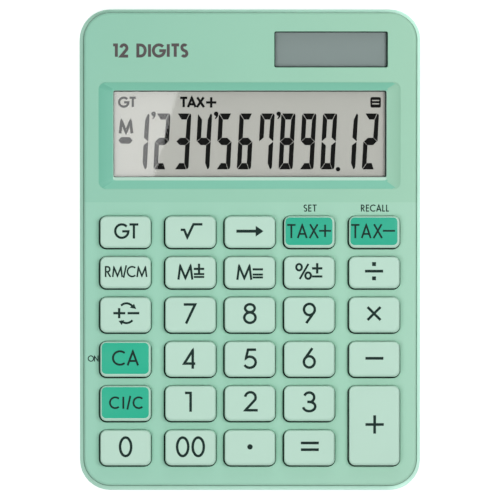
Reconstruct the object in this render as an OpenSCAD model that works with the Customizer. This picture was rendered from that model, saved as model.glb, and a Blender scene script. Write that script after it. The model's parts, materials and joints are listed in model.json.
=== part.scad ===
// Mini-desktop calculator: a two-part case, 29 push keys over a rubber keypad, a liquid crystal
// display and a solar cell in a raised panel, and a button cell under a cover in the base.
// Origin: middle of the footprint, at the level of the table. +X right, +Y to the rear, +Z up.
// All lengths are millimetres.

/* [Case] */
// Overall width
body_w = 105; // [104:0.5:106]
// Overall depth, front edge to rear edge
body_d = 148.2; // [147.6:0.2:149]
// Corner radius of the lower case, seen from above
corner_r = 9.4; // [9:0.1:10]
// How far the lower case stands out around the upper case
rim = 1.25; // [1.1:0.05:1.3]
// Height of the keyboard face at the front edge
front_h = 13; // [13:0.5:16]
// Slope of the keyboard face
key_tilt = 3.2; // [2.8:0.1:4]
// Slope of the display panel
head_tilt = 8.2; // [7.5:0.1:10]
// Where the keyboard face meets the display panel
break_y = 14.7; // [14.6:0.1:14.9]
// Height of the upper case's side wall
upper_h = 6; // [5.6:0.1:6.4]
// Thickness of the upper case's face
face_t = 2; // [1.9:0.1:2]
// Thickness of the upper case's side wall
wall = 2; // [1.9:0.1:2.1]
// Thickness of the base
floor_t = 1.8; // [1.8:0.1:2]
// Radius of the upper case's top edge
top_edge_r = 1.5; // [1.2:0.1:1.8]
// Radius of the lower case's bottom edge
base_edge_r = 2.2; // [1.8:0.1:2.4]

/* [Keys] */
// Width of a key cap
key_w = 15.6; // [15.4:0.1:15.6]
// Depth of a key cap in the two short rows
short_key_d = 9.8; // [9.6:0.1:9.8]
// Depth of a key cap in the four other rows
key_d = 10.9; // [10.7:0.1:10.9]
// Corner radius of a key cap
key_r = 1.9; // [1.6:0.1:2.2]
// Radius of a key cap's top edge
key_edge_r = 0.9; // [0.6:0.1:1]
// How far a key cap stands above the face
key_rise = 2.5; // [2.3:0.1:2.8]
// How far a key travels
key_travel = 1.3; // [1.1:0.1:1.3]
// Gap between a key cap and its opening
key_gap = 0.3; // [0.25:0.05:0.3]
// Spacing of the three middle columns
column_pitch = 18.3; // [18.2:0.1:18.4]
// Distance of the outer columns from the middle
outer_column = 38.3; // [38.2:0.1:38.4]
// Spacing of the four lower rows
row_pitch = 13.65; // [13.6:0.05:13.7]
// Spacing of the two short rows
short_row_pitch = 12.45; // [12.4:0.05:12.5]
// Middle of the rearmost row
first_row_y = 5.6; // [5.5:0.1:5.7]

/* [Display] */
// Width of the display window
win_w = 84; // [83:0.5:84.5]
// Height of the display window, along the panel
win_h = 26.9; // [26.5:0.1:27]
// Middle of the display window from the bend, along the panel
win_y = 21.2; // [21.1:0.1:21.3]
// Width of the sunk bezel at the face
bezel_w = 92.8; // [92:0.2:93]
// Height of the sunk bezel at the face
bezel_h = 33.8; // [33.4:0.2:34]
// Middle of the sunk bezel from the bend, along the panel
bezel_y = 20.9; // [20.8:0.1:21]
// Depth of the sloping part of the bezel
bezel_drop = 1.8; // [1.6:0.1:1.8]

/* [Solar cell] */
// Width of the cell window
solar_w = 34.9; // [34:0.1:35]
// Height of the cell window, along the panel
solar_h = 11.2; // [11:0.1:11.3]
// Middle of the cell window, across
solar_x = 24.95; // [24.9:0.05:25]
// Middle of the cell window from the bend, along the panel
solar_y = 47.45; // [47.4:0.05:47.5]

/* [Battery] */
// Diameter of the button cell
cell_d = 11.6; // [11.5:0.1:11.6]
// Thickness of the button cell
cell_t = 3.05; // [3:0.05:3.1]

/* [Hidden] */
$fn = 48;
HULL_FN = 32;
EPS = 0.5;

MINT = [0.60, 0.81, 0.71];
PALE_MINT = [0.75, 0.88, 0.81];
GREEN = [0.24, 0.71, 0.58];
STEEL = [0.72, 0.73, 0.75];

// Case
foot_h = 1.2;
upper_w = body_w - 2 * rim;
upper_d = body_d - 2 * rim;
upper_r = corner_r - rim;
break_h = front_h + (break_y + body_d / 2) * tan(key_tilt);
tongue_h = 1.5;
tongue_t = 0.8;
tongue_gap = 0.1;
far = 200;
tall = 60;
floor_z = foot_h + floor_t;

// Keys, in the frame of the keyboard face
flange_gap = 0.15;
flange_t = 1;
flange_out = 0.7;
cap_wall = 1.3;
cap_top_t = 1.4;
cap_low = -(face_t + flange_gap + flange_t);
stem_r = 2;
columns = [-outer_column, -column_pitch, 0, column_pitch, outer_column];
rows = [
  for (n = [0:5])
    n == 0 ? first_row_y
    : n == 1 ? first_row_y - short_row_pitch
    : first_row_y - short_row_pitch - (short_row_pitch + row_pitch) / 2 - (n - 2) * row_pitch
];
tall_key_d = key_d + row_pitch;

// Keypad and board, in the frame of the keyboard face
dome_top = cap_low - 0.1;
sheet_top = dome_top - 1.95;
sheet_t = 0.8;
dome_r = 4.2;
dome_top_r = 2.6;
dome_wall = 0.7;
board_top = sheet_top - sheet_t;
board_t = 1.6;
board_w = 92;
board_rear_y = 12.6;
board_front_y = -66.4;
sheet_rear_y = 10.4;

// Display, in the frame of the display panel
bezel_floor_w = win_w + 1.2;
bezel_floor_h = win_h + 1.2;
lens_w = win_w + 3.4;
lens_h = win_h + 2.9;
lens_t = 1;
lens_top = -(bezel_drop + 0.6);
frame_w = 94;
frame_h = 34.4;
frame_low = -3.6;
glass_t = 1.1;
glass_w = 88;
glass_rear_y = win_y + 14.6;
front_glass_h = 30.8;
rear_glass_h = 27.6;
front_glass_top = -3.65;
rear_glass_top = front_glass_top - glass_t;
holder_w = 92;
holder_h = 33.2;
holder_y = 20.5;
holder_floor_top = rear_glass_top - glass_t - 0.05;
holder_floor_t = 1.2;
holder_ears = [[-33, 1.3], [33, 1.3], [-33, 39.5], [0, 39.5]];
ear_t = 1.6;

// Solar cell, in the frame of the display panel
solar_window_drop = 1;
solar_window_t = 0.8;
solar_margin = 1.3;
solar_glass_t = 1.1;
solar_rib_t = 1;

// Screws
case_screws_at = [[-28.3, -68.2], [28.3, -68.2], [-46.9, 14.9], [46.9, 14.9], [-47, 61.65], [47, 61.65]];
board_screws_at = [for (x = [-28.3, 28.3], y = [4, -27, -58]) [x, y]];
case_screw_r = 1.25;
case_boss_r = 2.3;
case_post_r = 3.4;
case_head_r = 2.2;
case_head_h = 1.4;
case_web_t = 2;
small_screw_r = 0.8;
small_boss_r = 1.8;
small_head_r = 1.7;
small_head_h = 1.2;
thread_gap = 0.03;

// Feet
feet_at = [for (x = [-38.5, 38.5], y = [-61, 64]) [x, y]];
foot_r = 4.5;
foot_sink = 0.8;

// Battery
cell_at = [-30, 42];
cell_z = 4.2;
cover_size = [30, 18];
cover_at = [-24, 42];
cover_t = 1.6;
cover_seat_z = 2.9;
cover_screw_at = [-13.5, 42];
well_wall = 1.2;
well_top_z = 9.4;
contact_t = 0.25;

// Height of the face above a point of the footprint
function face_h(y) = break_h + (y - break_y) * tan(y < break_y ? key_tilt : head_tilt);
// Distance from the bend along the keyboard face
function key_y(y) = (y - break_y) / cos(key_tilt);
// Top of the lower case's post under a case screw's boss
function post_top(y) = face_h(y) - upper_h - tongue_h - 1;

// Rectangle with rounded corners
module rounded(w, h, r) {
  square([w - 2 * r, h], center = true);
  square([w, h - 2 * r], center = true);
  for (sx = [-1, 1], sy = [-1, 1])
    translate([sx * (w / 2 - r), sy * (h / 2 - r)]) circle(r);
}

// Upright section with rounded shoulders, standing on the X axis
module shouldered(w, h, r) {
  translate([-w / 2, 0]) square([w, h - r]);
  translate([-w / 2 + r, 0]) square([w - 2 * r, h]);
  for (s = [-1, 1]) translate([s * (w / 2 - r), h - r]) circle(r);
}

// Puts its children in the frame of the keyboard face: z = 0 on the face, y = 0 at the bend
module on_keys() {
  translate([0, break_y, break_h]) rotate([key_tilt, 0, 0]) children();
}

// Puts its children in the frame of the display panel: z = 0 on the face, y = 0 at the bend
module on_head() {
  translate([0, break_y, break_h]) rotate([head_tilt, 0, 0]) children();
}

// Everything above the two sloping faces lowered by drop
module above(drop) {
  rotate([90, 0, 90]) linear_extrude(far, center = true)
    polygon([
      [-far, face_h(-far) - drop],
      [break_y, break_h - drop],
      [far, face_h(far) - drop],
      [far, far],
      [-far, far]
    ]);
}

// Everything below the two sloping faces lowered by drop
module below(drop) {
  rotate([90, 0, 90]) linear_extrude(far, center = true)
    polygon([
      [-far, face_h(-far) - drop],
      [-far, -far],
      [far, -far],
      [far, face_h(far) - drop],
      [break_y, break_h - drop]
    ]);
}

// One corner of the upper case: a rounded edge on the sloping face over an upright corner
module upper_corner(x, y, tilt) {
  translate([x, y, face_h(y)]) rotate([tilt, 0, 0]) translate([0, 0, -top_edge_r])
    rotate_extrude($fn = HULL_FN) translate([upper_r - top_edge_r, 0]) circle(top_edge_r, $fn = HULL_FN);
  translate([x, y, floor_z])
    cylinder(r = upper_r, h = face_h(y) - floor_z - 2 * top_edge_r - upper_r * tan(tilt), $fn = HULL_FN);
}

// The rounded edge where the bend meets a side wall
module bend_edge(x) {
  lean = (key_tilt + head_tilt) / 2;
  depth = top_edge_r / cos((head_tilt - key_tilt) / 2);
  z = break_h - depth * cos(lean);
  translate([x, break_y + depth * sin(lean), z]) sphere(top_edge_r, $fn = HULL_FN);
  translate([x, break_y + depth * sin(lean), floor_z])
    cylinder(r = top_edge_r, h = z - floor_z, $fn = HULL_FN);
}

// One sloping half of the upper case, end = -1 for the keyboard and 1 for the display panel
module upper_half(end, tilt) {
  hull() {
    for (s = [-1, 1]) {
      upper_corner(s * (upper_w / 2 - upper_r), end * (upper_d / 2 - upper_r), tilt);
      bend_edge(s * (upper_w / 2 - top_edge_r));
    }
  }
}

// A straight-sided column under the faces, from the height low upwards
module column_at(p, r, low, drop) {
  intersection() {
    translate([p[0], p[1], low]) cylinder(r = r, h = tall);
    below(drop);
  }
}

// Places its children on the keyboard face, in a column and at the distance y of a row from the middle
module key_at(column, y) {
  on_keys() translate([columns[column], key_y(y), 0]) children();
}

// The openings for all the keys
module key_openings() {
  for (c = [0:4], n = [0:5]) {
    last = c == 4 && n >= 4;
    d = n < 2 ? short_key_d : key_d;
    if (!last)
      key_at(c, rows[n]) translate([0, 0, -2 * face_t])
        linear_extrude(4 * face_t) rounded(key_w + 2 * key_gap, d + 2 * key_gap, key_r + key_gap);
  }
  key_at(4, (rows[4] + rows[5]) / 2) translate([0, 0, -2 * face_t])
    linear_extrude(4 * face_t) rounded(key_w + 2 * key_gap, tall_key_d + 2 * key_gap, key_r + key_gap);
}

// The sunk bezel: sloping walls with mitred inner corners, then an upright edge round the window
module bezel_sink() {
  y0 = bezel_y - bezel_h / 2;
  y1 = bezel_y + bezel_h / 2;
  w0 = win_y - bezel_floor_h / 2;
  w1 = win_y + bezel_floor_h / 2;
  slope = (bezel_w - bezel_floor_w) / 2 / bezel_drop;
  intersection() {
    translate([0, bezel_y, -bezel_drop]) linear_extrude(bezel_drop + 1) rounded(bezel_w, bezel_h, 2.2);
    translate([0, far / 2, 0]) rotate([90, 0, 0]) linear_extrude(far)
      polygon([
        [-bezel_floor_w / 2, -bezel_drop],
        [bezel_floor_w / 2, -bezel_drop],
        [bezel_w / 2 + slope, 1],
        [-bezel_w / 2 - slope, 1]
      ]);
    translate([-far / 2, 0, 0]) rotate([90, 0, 90]) linear_extrude(far)
      polygon([
        [w0, -bezel_drop],
        [w1, -bezel_drop],
        [y1 + (y1 - w1) / bezel_drop, 1],
        [y0 - (w0 - y0) / bezel_drop, 1]
      ]);
  }
  translate([0, win_y, lens_top - 1]) linear_extrude(tall / 4) rounded(win_w, win_h, 0.8);
}

// Pocket from below for a flat plate, its top at the height top in the panel's frame
module plate_pocket(w, h, top, r) {
  translate([0, 0, top - 10]) linear_extrude(10) rounded(w, h, r);
}

module upper_case() {
  color(MINT) difference() {
    union() {
      difference() {
        union() {
          intersection() {
            union() {
              upper_half(-1, key_tilt);
              upper_half(1, head_tilt);
            }
            above(upper_h);
          }
          intersection() {
            linear_extrude(tall)
              rounded(upper_w - 2 * (wall - tongue_t), upper_d - 2 * (wall - tongue_t), upper_r - wall + tongue_t);
            above(upper_h + tongue_h);
            below(upper_h - 1);
          }
        }
        intersection() {
          linear_extrude(tall) rounded(upper_w - 2 * wall, upper_d - 2 * wall, upper_r - wall);
          below(face_t);
        }
      }
      for (p = case_screws_at) column_at(p, case_boss_r, post_top(p[1]), face_t - EPS);
      for (p = board_screws_at)
        on_keys() translate([p[0], key_y(p[1]), board_top])
          cylinder(r = small_boss_r, h = -face_t + EPS - board_top);
      on_head() {
        translate([0, bezel_y, frame_low]) linear_extrude(-face_t + EPS - frame_low)
          rounded(frame_w, frame_h, 1.5);
        for (p = holder_ears) translate([p[0], p[1], frame_low])
          cylinder(r = 2.1, h = -face_t + EPS - frame_low);
        translate([solar_x, solar_y, -4]) linear_extrude(4 - face_t + EPS)
          rounded(
            solar_w + 2 * (solar_margin + solar_rib_t),
            solar_h + 2 * (solar_margin + solar_rib_t),
            1.5
          );
      }
    }
    key_openings();
    on_head() {
      bezel_sink();
      translate([0, win_y, 0]) plate_pocket(lens_w + 0.4, lens_h + 0.4, lens_top, 1);
      translate([solar_x, solar_y, -3]) linear_extrude(10) rounded(solar_w, solar_h, 0.5);
      translate([solar_x, solar_y, 0])
        plate_pocket(solar_w + 2 * solar_margin, solar_h + 2 * solar_margin, -solar_window_drop, 0.8);
      for (p = holder_ears) translate([p[0], p[1], frame_low - 1])
        cylinder(r = small_screw_r + thread_gap, h = 1 - frame_low - 1.2);
    }
    for (p = case_screws_at) translate([p[0], p[1], post_top(p[1]) - 1])
      cylinder(r = case_screw_r + thread_gap, h = face_h(p[1]) - 1.7 - post_top(p[1]) + 1);
    for (p = board_screws_at) on_keys() translate([p[0], key_y(p[1]), board_top - 1])
      cylinder(r = small_screw_r + thread_gap, h = 1 - board_top - 1.2);
  }
}

// One corner of the lower case, with a rounded bottom edge
module lower_corner(x, y) {
  translate([x, y, foot_h + base_edge_r])
    rotate_extrude($fn = HULL_FN) translate([corner_r - base_edge_r, 0]) circle(base_edge_r, $fn = HULL_FN);
  translate([x, y, foot_h + base_edge_r]) cylinder(r = corner_r, h = 30, $fn = HULL_FN);
}

module lower_case() {
  inner_w = upper_w - 2 * (wall - tongue_t) + 2 * tongue_gap;
  inner_d = upper_d - 2 * (wall - tongue_t) + 2 * tongue_gap;
  inner_r = upper_r - wall + tongue_t + tongue_gap;
  color(MINT) difference() {
    union() {
      difference() {
        hull() for (sx = [-1, 1], sy = [-1, 1])
          lower_corner(sx * (body_w / 2 - corner_r), sy * (body_d / 2 - corner_r));
        above(upper_h);
        translate([0, 0, floor_z]) linear_extrude(tall) rounded(inner_w, inner_d, inner_r);
      }
      for (p = case_screws_at) translate([p[0], p[1], floor_z - EPS])
        cylinder(r = case_post_r, h = post_top(p[1]) - floor_z + EPS);
      translate([cover_at[0], cover_at[1], floor_z - EPS])
        linear_extrude(cover_seat_z + 1.3 - floor_z + EPS)
          rounded(cover_size[0] + 2 * well_wall, cover_size[1] + 2 * well_wall, 2);
      translate([cell_at[0], cell_at[1], floor_z - EPS])
        linear_extrude(well_top_z - floor_z + EPS) rounded(cell_d + 2.8 + 2 * well_wall, cell_d + 3.6, 2);
      translate([cover_screw_at[0], cover_screw_at[1], floor_z - EPS])
        cylinder(r = 3, h = well_top_z - floor_z + EPS);
    }
    for (p = case_screws_at) translate([p[0], p[1], 0]) {
      cylinder(r = case_head_r + 0.4, h = post_top(p[1]) - case_web_t);
      cylinder(r = case_screw_r + 0.2, h = tall);
    }
    for (p = feet_at) translate([p[0], p[1], 0]) cylinder(r = foot_r + 0.15, h = foot_h + foot_sink);
    translate([cover_at[0], cover_at[1], 0])
      linear_extrude(cover_seat_z) rounded(cover_size[0] + 0.4, cover_size[1] + 0.4, 1.7);
    translate([cell_at[0], cell_at[1], 0])
      linear_extrude(well_top_z - well_wall) rounded(cell_d + 2.8, cell_d + 1, 1);
    translate([cell_at[0], cell_at[1], well_top_z - well_wall - 1]) {
      translate([0, 3.4, 2]) cube([5.4, 1.2, 4], center = true);
      translate([cell_d / 2 + 0.7, 0, 2]) cube([1.2, 5.4, 4], center = true);
    }
    translate([cover_screw_at[0], cover_screw_at[1], 0]) cylinder(r = 1 + thread_gap, h = 8.2);
  }
}

// A screw standing head down on z = 0, its shank upwards
module screw(head_r, head_h, shank_r, shank_h) {
  difference() {
    union() {
      cylinder(r = head_r, h = head_h);
      cylinder(r = shank_r, h = head_h + shank_h);
    }
    for (a = [0, 90]) rotate([0, 0, a]) translate([0, 0, 0.25])
      cube([1.3 * head_r, 0.22 * head_r, 0.5 + EPS], center = true);
  }
}

module case_screws() {
  color(STEEL) for (p = case_screws_at) {
    z = post_top(p[1]) - case_web_t - case_head_h;
    translate([p[0], p[1], z])
      screw(case_head_r, case_head_h, case_screw_r, face_h(p[1]) - 2 - z - case_head_h);
  }
}

module board_screws() {
  color(STEEL) for (p = board_screws_at)
    on_keys() translate([p[0], key_y(p[1]), board_top - board_t - small_head_h])
      screw(small_head_r, small_head_h, small_screw_r, -1.5 - board_top + board_t);
}

module lcd_holder_screws() {
  color(STEEL) on_head() for (p = holder_ears)
    translate([p[0], p[1], frame_low - ear_t - small_head_h])
      screw(small_head_r, small_head_h, small_screw_r, -1.5 - frame_low + ear_t);
}

module rubber_feet() {
  color([0.2, 0.22, 0.22]) for (p = feet_at) translate([p[0], p[1], 0]) {
    cylinder(r1 = foot_r - 0.4, r2 = foot_r, h = 0.4);
    translate([0, 0, 0.4]) cylinder(r = foot_r, h = foot_h + foot_sink - 0.4);
  }
}

module display_lens() {
  color([0.85, 0.9, 0.88, 0.35]) on_head() translate([0, win_y, lens_top - lens_t])
    linear_extrude(lens_t) rounded(lens_w, lens_h, 0.8);
}

module lcd_front_glass() {
  color([0.70, 0.70, 0.67]) on_head()
    translate([0, glass_rear_y - front_glass_h / 2, front_glass_top - glass_t / 2])
      cube([glass_w, front_glass_h, glass_t], center = true);
}

module lcd_rear_glass() {
  color([0.62, 0.64, 0.61]) on_head()
    translate([0, glass_rear_y - rear_glass_h / 2, rear_glass_top - glass_t / 2])
      cube([glass_w, rear_glass_h, glass_t], center = true);
}

module lcd_holder() {
  color([0.88, 0.89, 0.86]) on_head() difference() {
    union() {
      translate([0, holder_y, holder_floor_top - holder_floor_t])
        linear_extrude(frame_low - holder_floor_top + holder_floor_t) rounded(holder_w, holder_h, 1.5);
      for (p = holder_ears) translate([p[0], p[1], frame_low - ear_t]) {
        cylinder(r = 2.6, h = ear_t);
        translate([-2.6, p[1] < win_y ? 0 : -4, 0]) cube([5.2, 4, ear_t]);
      }
    }
    translate([0, glass_rear_y - front_glass_h / 2, holder_floor_top])
      linear_extrude(10) rounded(glass_w + 0.4, front_glass_h + 0.4, 0.4);
    translate([0, glass_rear_y - front_glass_h + 1.5, holder_floor_top])
      cube([76, 2.8, 10], center = true);
    translate([0, win_y + 1.5, holder_floor_top]) linear_extrude(10, center = true)
      rounded(60, 16, 2);
    for (p = holder_ears) translate([p[0], p[1], frame_low - 5]) cylinder(r = small_screw_r + 0.2, h = 10);
  }
}

// A flat strip seen from its side: the stretches between the points, each t thick
module strip_path(points, t) {
  for (n = [0:len(points) - 2]) {
    a = points[n];
    b = points[n + 1];
    length = norm(b - a);
    translate(a) rotate(atan2(b[1] - a[1], b[0] - a[0])) translate([0, -t / 2]) square([length, t]);
    if (n > 0) translate(a) circle(t / 2);
  }
}

module lcd_ribbon() {
  t = 0.16;
  ledge_y = glass_rear_y - front_glass_h;
  ledge_z = rear_glass_top - t / 2 - 0.02;
  down_z = holder_floor_top - holder_floor_t - 1.1;
  board_y = key_y(board_rear_y);
  turn = head_tilt - key_tilt;
  function to_head(y, z) = [y * cos(turn) + z * sin(turn), -y * sin(turn) + z * cos(turn)];
  color([0.80, 0.62, 0.25]) on_head() rotate([90, 0, 90]) linear_extrude(60, center = true)
    strip_path([
      [ledge_y + 2.8, ledge_z],
      [ledge_y + 1.2, ledge_z],
      [ledge_y + 1.2, down_z],
      to_head(board_y + 0.6, board_top + t),
      to_head(board_y - 1.6, board_top + t / 2 + 0.02)
    ], t);
}

module solar_window() {
  color([0.5, 0.55, 0.53, 0.4]) on_head()
    translate([solar_x, solar_y, -solar_window_drop - solar_window_t])
      linear_extrude(solar_window_t)
        rounded(solar_w + 2 * solar_margin - 0.3, solar_h + 2 * solar_margin - 0.3, 0.7);
}

module solar_cell() {
  top = -solar_window_drop - solar_window_t - 0.1;
  color([0.30, 0.33, 0.33]) on_head() translate([solar_x, solar_y, top - solar_glass_t / 2])
    cube([solar_w + 2 * solar_margin - 0.6, solar_h + 2 * solar_margin - 0.6, solar_glass_t], center = true);
}

module solar_pad() {
  top = -solar_window_drop - solar_window_t - 0.1 - solar_glass_t;
  color([0.15, 0.15, 0.15]) on_head() translate([solar_x, solar_y, top - 1])
    cube([solar_w - 8, solar_h - 2, 2], center = true);
}

// A straight piece of wire between two points
module wire_piece(a, b, r) {
  d = b - a;
  translate(a) rotate([0, acos(d[2] / norm(d)), atan2(d[1], d[0])]) cylinder(r = r, h = norm(d));
}

// A wire through points, with a slightly fatter knuckle at each bend
module wire(points, r) {
  for (n = [0:len(points) - 2]) wire_piece(points[n], points[n + 1], r);
  for (n = [1:len(points) - 2]) translate(points[n]) sphere(r * 1.3);
}

// A point under the display panel, in the row's frame
function under_head(x, y, z) = [
  x,
  break_y + y * cos(head_tilt) - z * sin(head_tilt),
  break_h + y * sin(head_tilt) + z * cos(head_tilt)
];
// A point under the keyboard face, in the row's frame
function under_keys(x, y, z) = [
  x,
  break_y + y * cos(key_tilt) - z * sin(key_tilt),
  break_h + y * sin(key_tilt) + z * cos(key_tilt)
];

// Wire from the solar cell's underside, under the display, to the underside of the board
module solar_wire(x, board_x) {
  cell_low = -solar_window_drop - solar_window_t - 0.1 - solar_glass_t;
  board_low = board_top - board_t;
  r = 0.45;
  wire([
    under_head(x, solar_y, cell_low - 0.02),
    under_head(x, solar_y - 0.5, cell_low - 5),
    under_head(x, holder_y + holder_h / 2 + 4, -10),
    under_keys(board_x, key_y(board_rear_y) + 3, board_low - 2.6),
    under_keys(board_x, key_y(board_rear_y) - 4, board_low - r - 0.02)
  ], r);
}

module solar_wire_plus() {
  color([0.75, 0.12, 0.1]) solar_wire(solar_x + 15.5, 20);
}

module solar_wire_minus() {
  color([0.1, 0.1, 0.11]) solar_wire(solar_x - 15.5, 17);
}

// One rubber dome: a hollow cone that stands on the sheet
module dome_shell() {
  h = dome_top - sheet_top;
  difference() {
    translate([0, 0, sheet_top - sheet_t / 2])
      cylinder(r1 = dome_r + (dome_r - dome_top_r) * sheet_t / 2 / h, r2 = dome_top_r, h = h + sheet_t / 2);
    translate([0, 0, board_top - 1]) cylinder(r = dome_r - dome_wall, h = sheet_t + 1);
    translate([0, 0, sheet_top - 0.01]) cylinder(r1 = dome_r - dome_wall, r2 = dome_top_r - dome_wall, h = h - 0.8);
  }
}

// Places its children at every dome: one to a key, and two under the tall key
module at_domes() {
  for (c = [0:4], n = [0:5]) key_at(c, rows[n]) children();
}

module rubber_keypad() {
  length = key_y(sheet_rear_y) - key_y(board_front_y + 0.6);
  middle = (key_y(sheet_rear_y) + key_y(board_front_y + 0.6)) / 2;
  color([0.78, 0.80, 0.79]) {
    difference() {
      on_keys() translate([0, middle, board_top]) linear_extrude(sheet_t) rounded(board_w - 1, length, 2);
      at_domes() translate([0, 0, board_top - 1]) cylinder(r = dome_r - dome_wall, h = 5);
      for (p = board_screws_at) on_keys() translate([p[0], key_y(p[1]), board_top - 1])
        cylinder(r = small_boss_r + 0.3, h = 5);
      for (p = case_screws_at) translate([p[0], p[1], 0]) cylinder(r = case_post_r + 0.5, h = tall);
    }
    at_domes() dome_shell();
  }
}

module circuit_board() {
  length = key_y(board_rear_y) - key_y(board_front_y);
  middle = (key_y(board_rear_y) + key_y(board_front_y)) / 2;
  color([0.13, 0.42, 0.25]) difference() {
    on_keys() translate([0, middle, board_top - board_t]) linear_extrude(board_t) rounded(board_w, length, 2);
    for (p = board_screws_at) on_keys() translate([p[0], key_y(p[1]), board_top - board_t - 1])
      cylinder(r = small_screw_r + 0.2, h = 5);
    for (p = case_screws_at) translate([p[0], p[1], 0]) cylinder(r = case_post_r + 0.4, h = tall);
  }
}

module chip_blob() {
  color([0.08, 0.08, 0.09]) on_keys() translate([6, key_y(-12), board_top - board_t])
    intersection() {
      translate([0, 0, 10.4]) sphere(11.8, $fn = 160);
      translate([0, 0, -1.45]) cylinder(r = 7, h = 1.43);
    }
}

module capacitor() {
  color([0.12, 0.13, 0.2]) on_keys() translate([-14, key_y(3), board_top - board_t - 2.6]) {
    rotate([0, 90, 0]) cylinder(r = 2, h = 7, center = true);
    for (s = [-1, 1]) {
      translate([3, s * 0.8, 0]) rotate([0, 90, 0]) cylinder(r = 0.25, h = 2.5);
      translate([5.3, s * 0.8, -0.15]) cylinder(r = 0.25, h = 2.73);
    }
  }
}

module button_cell() {
  color([0.78, 0.78, 0.76]) translate([cell_at[0], cell_at[1], cell_z]) {
    cylinder(r = cell_d / 2, h = cell_t - 0.35);
    cylinder(r = cell_d / 2 - 1, h = cell_t);
  }
}

module battery_contact_minus() {
  roof = well_top_z - well_wall;
  color([0.80, 0.76, 0.55]) translate([cell_at[0], cell_at[1], 0]) {
    translate([0, 0.4, roof - contact_t / 2 - 0.02]) cube([4.6, 7.2, contact_t], center = true);
    translate([0, -1.2, cell_z + cell_t + 0.03]) cylinder(r = 1.2, h = roof - cell_z - cell_t - 0.15);
    translate([0, 3.4, roof + 1.2]) cube([4.6, contact_t, 2.7], center = true);
  }
}

module battery_contact_plus() {
  x = cell_d / 2 + 0.1 + contact_t / 2;
  color([0.80, 0.76, 0.55]) translate([cell_at[0] + x, cell_at[1], 0]) {
    translate([0, 0, (cell_z + well_top_z + 1) / 2]) cube([contact_t, 4.6, well_top_z + 1 - cell_z], center = true);
    translate([0.5, 0, cell_z + 0.6]) cube([1 + contact_t, 4.6, contact_t], center = true);
  }
}

module battery_wire_plus() {
  board_low = board_top - board_t;
  r = 0.4;
  x = cell_at[0] + cell_d / 2 + 0.1 + contact_t + r;
  color([0.75, 0.12, 0.1]) wire([
    [x, cell_at[1], well_top_z + 0.6],
    [x + 3, cell_at[1] - 9, well_top_z + 0.6],
    under_keys(-19, key_y(board_rear_y) + 4, board_low - 3),
    under_keys(-19, key_y(board_rear_y) - 5, board_low - r - 0.02)
  ], r);
}

module battery_wire_minus() {
  board_low = board_top - board_t;
  r = 0.4;
  y = cell_at[1] + 3.4 - contact_t / 2 - r - 0.05;
  color([0.1, 0.1, 0.11]) wire([
    [cell_at[0], y, well_top_z + 0.9],
    [cell_at[0] - 4, cell_at[1] - 9, well_top_z + 0.6],
    under_keys(-24, key_y(board_rear_y) + 4, board_low - 3),
    under_keys(-24, key_y(board_rear_y) - 5, board_low - r - 0.02)
  ], r);
}

module battery_cover() {
  low = foot_h + 0.1;
  color(MINT) difference() {
    union() {
      translate([cover_at[0], cover_at[1], low])
        linear_extrude(cover_seat_z - low - 0.02) rounded(cover_size[0], cover_size[1], 1.5);
      translate([cell_at[0], cell_at[1], low]) cylinder(r = 4.2, h = cell_z - low - 0.03);
    }
    translate([cell_at[0], cell_at[1], low + cover_t]) cylinder(r = 3.2, h = 5);
    translate([cover_screw_at[0], cover_screw_at[1], 0]) {
      cylinder(r = 2.1, h = low + 0.9);
      cylinder(r = 1.2, h = 10);
    }
    for (n = [-2:2]) translate([cover_at[0] - 10 + n * 1.4, cover_at[1], low])
      cube([0.6, 9, 0.5], center = true);
  }
}

module battery_cover_screw() {
  color(STEEL) translate([cover_screw_at[0], cover_screw_at[1], foot_h + 0.05]) screw(1.9, 0.93, 1, 5);
}

// A key cap d deep, hollow from below, with a stem over each dome
module key_cap(d, stems) {
  h = key_rise - cap_low;
  difference() {
    union() {
      intersection() {
        translate([0, 0, cap_low]) linear_extrude(h) rounded(key_w, d, key_r);
        translate([0, d, cap_low]) rotate([90, 0, 0]) linear_extrude(2 * d) shouldered(key_w, h, key_edge_r);
        translate([-key_w, 0, cap_low]) rotate([90, 0, 90]) linear_extrude(2 * key_w) shouldered(d, h, key_edge_r);
      }
      for (s = [-1, 1]) translate([0, s * (d / 2 + flange_out - 1), cap_low + flange_t / 2])
        cube([key_w - 2 * key_r, 2, flange_t], center = true);
    }
    difference() {
      translate([0, 0, cap_low - 1]) linear_extrude(h + 1 - cap_top_t)
        rounded(key_w - 2 * cap_wall, d - 2 * cap_wall, key_r - 1);
      for (y = stems) translate([0, y, cap_low]) cylinder(r = stem_r, h = h);
      translate([0, 0, cap_low + 1.5]) linear_extrude(h) square([0.9, d], center = true);
      for (y = stems) translate([0, y, cap_low + 1.5]) linear_extrude(h) square([key_w, 0.9], center = true);
    }
  }
}

// The key cap of one place on the keyboard
module key(column, row, finish) {
  color(finish) key_at(column, rows[row]) key_cap(row < 2 ? short_key_d : key_d, [0]);
}

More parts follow.
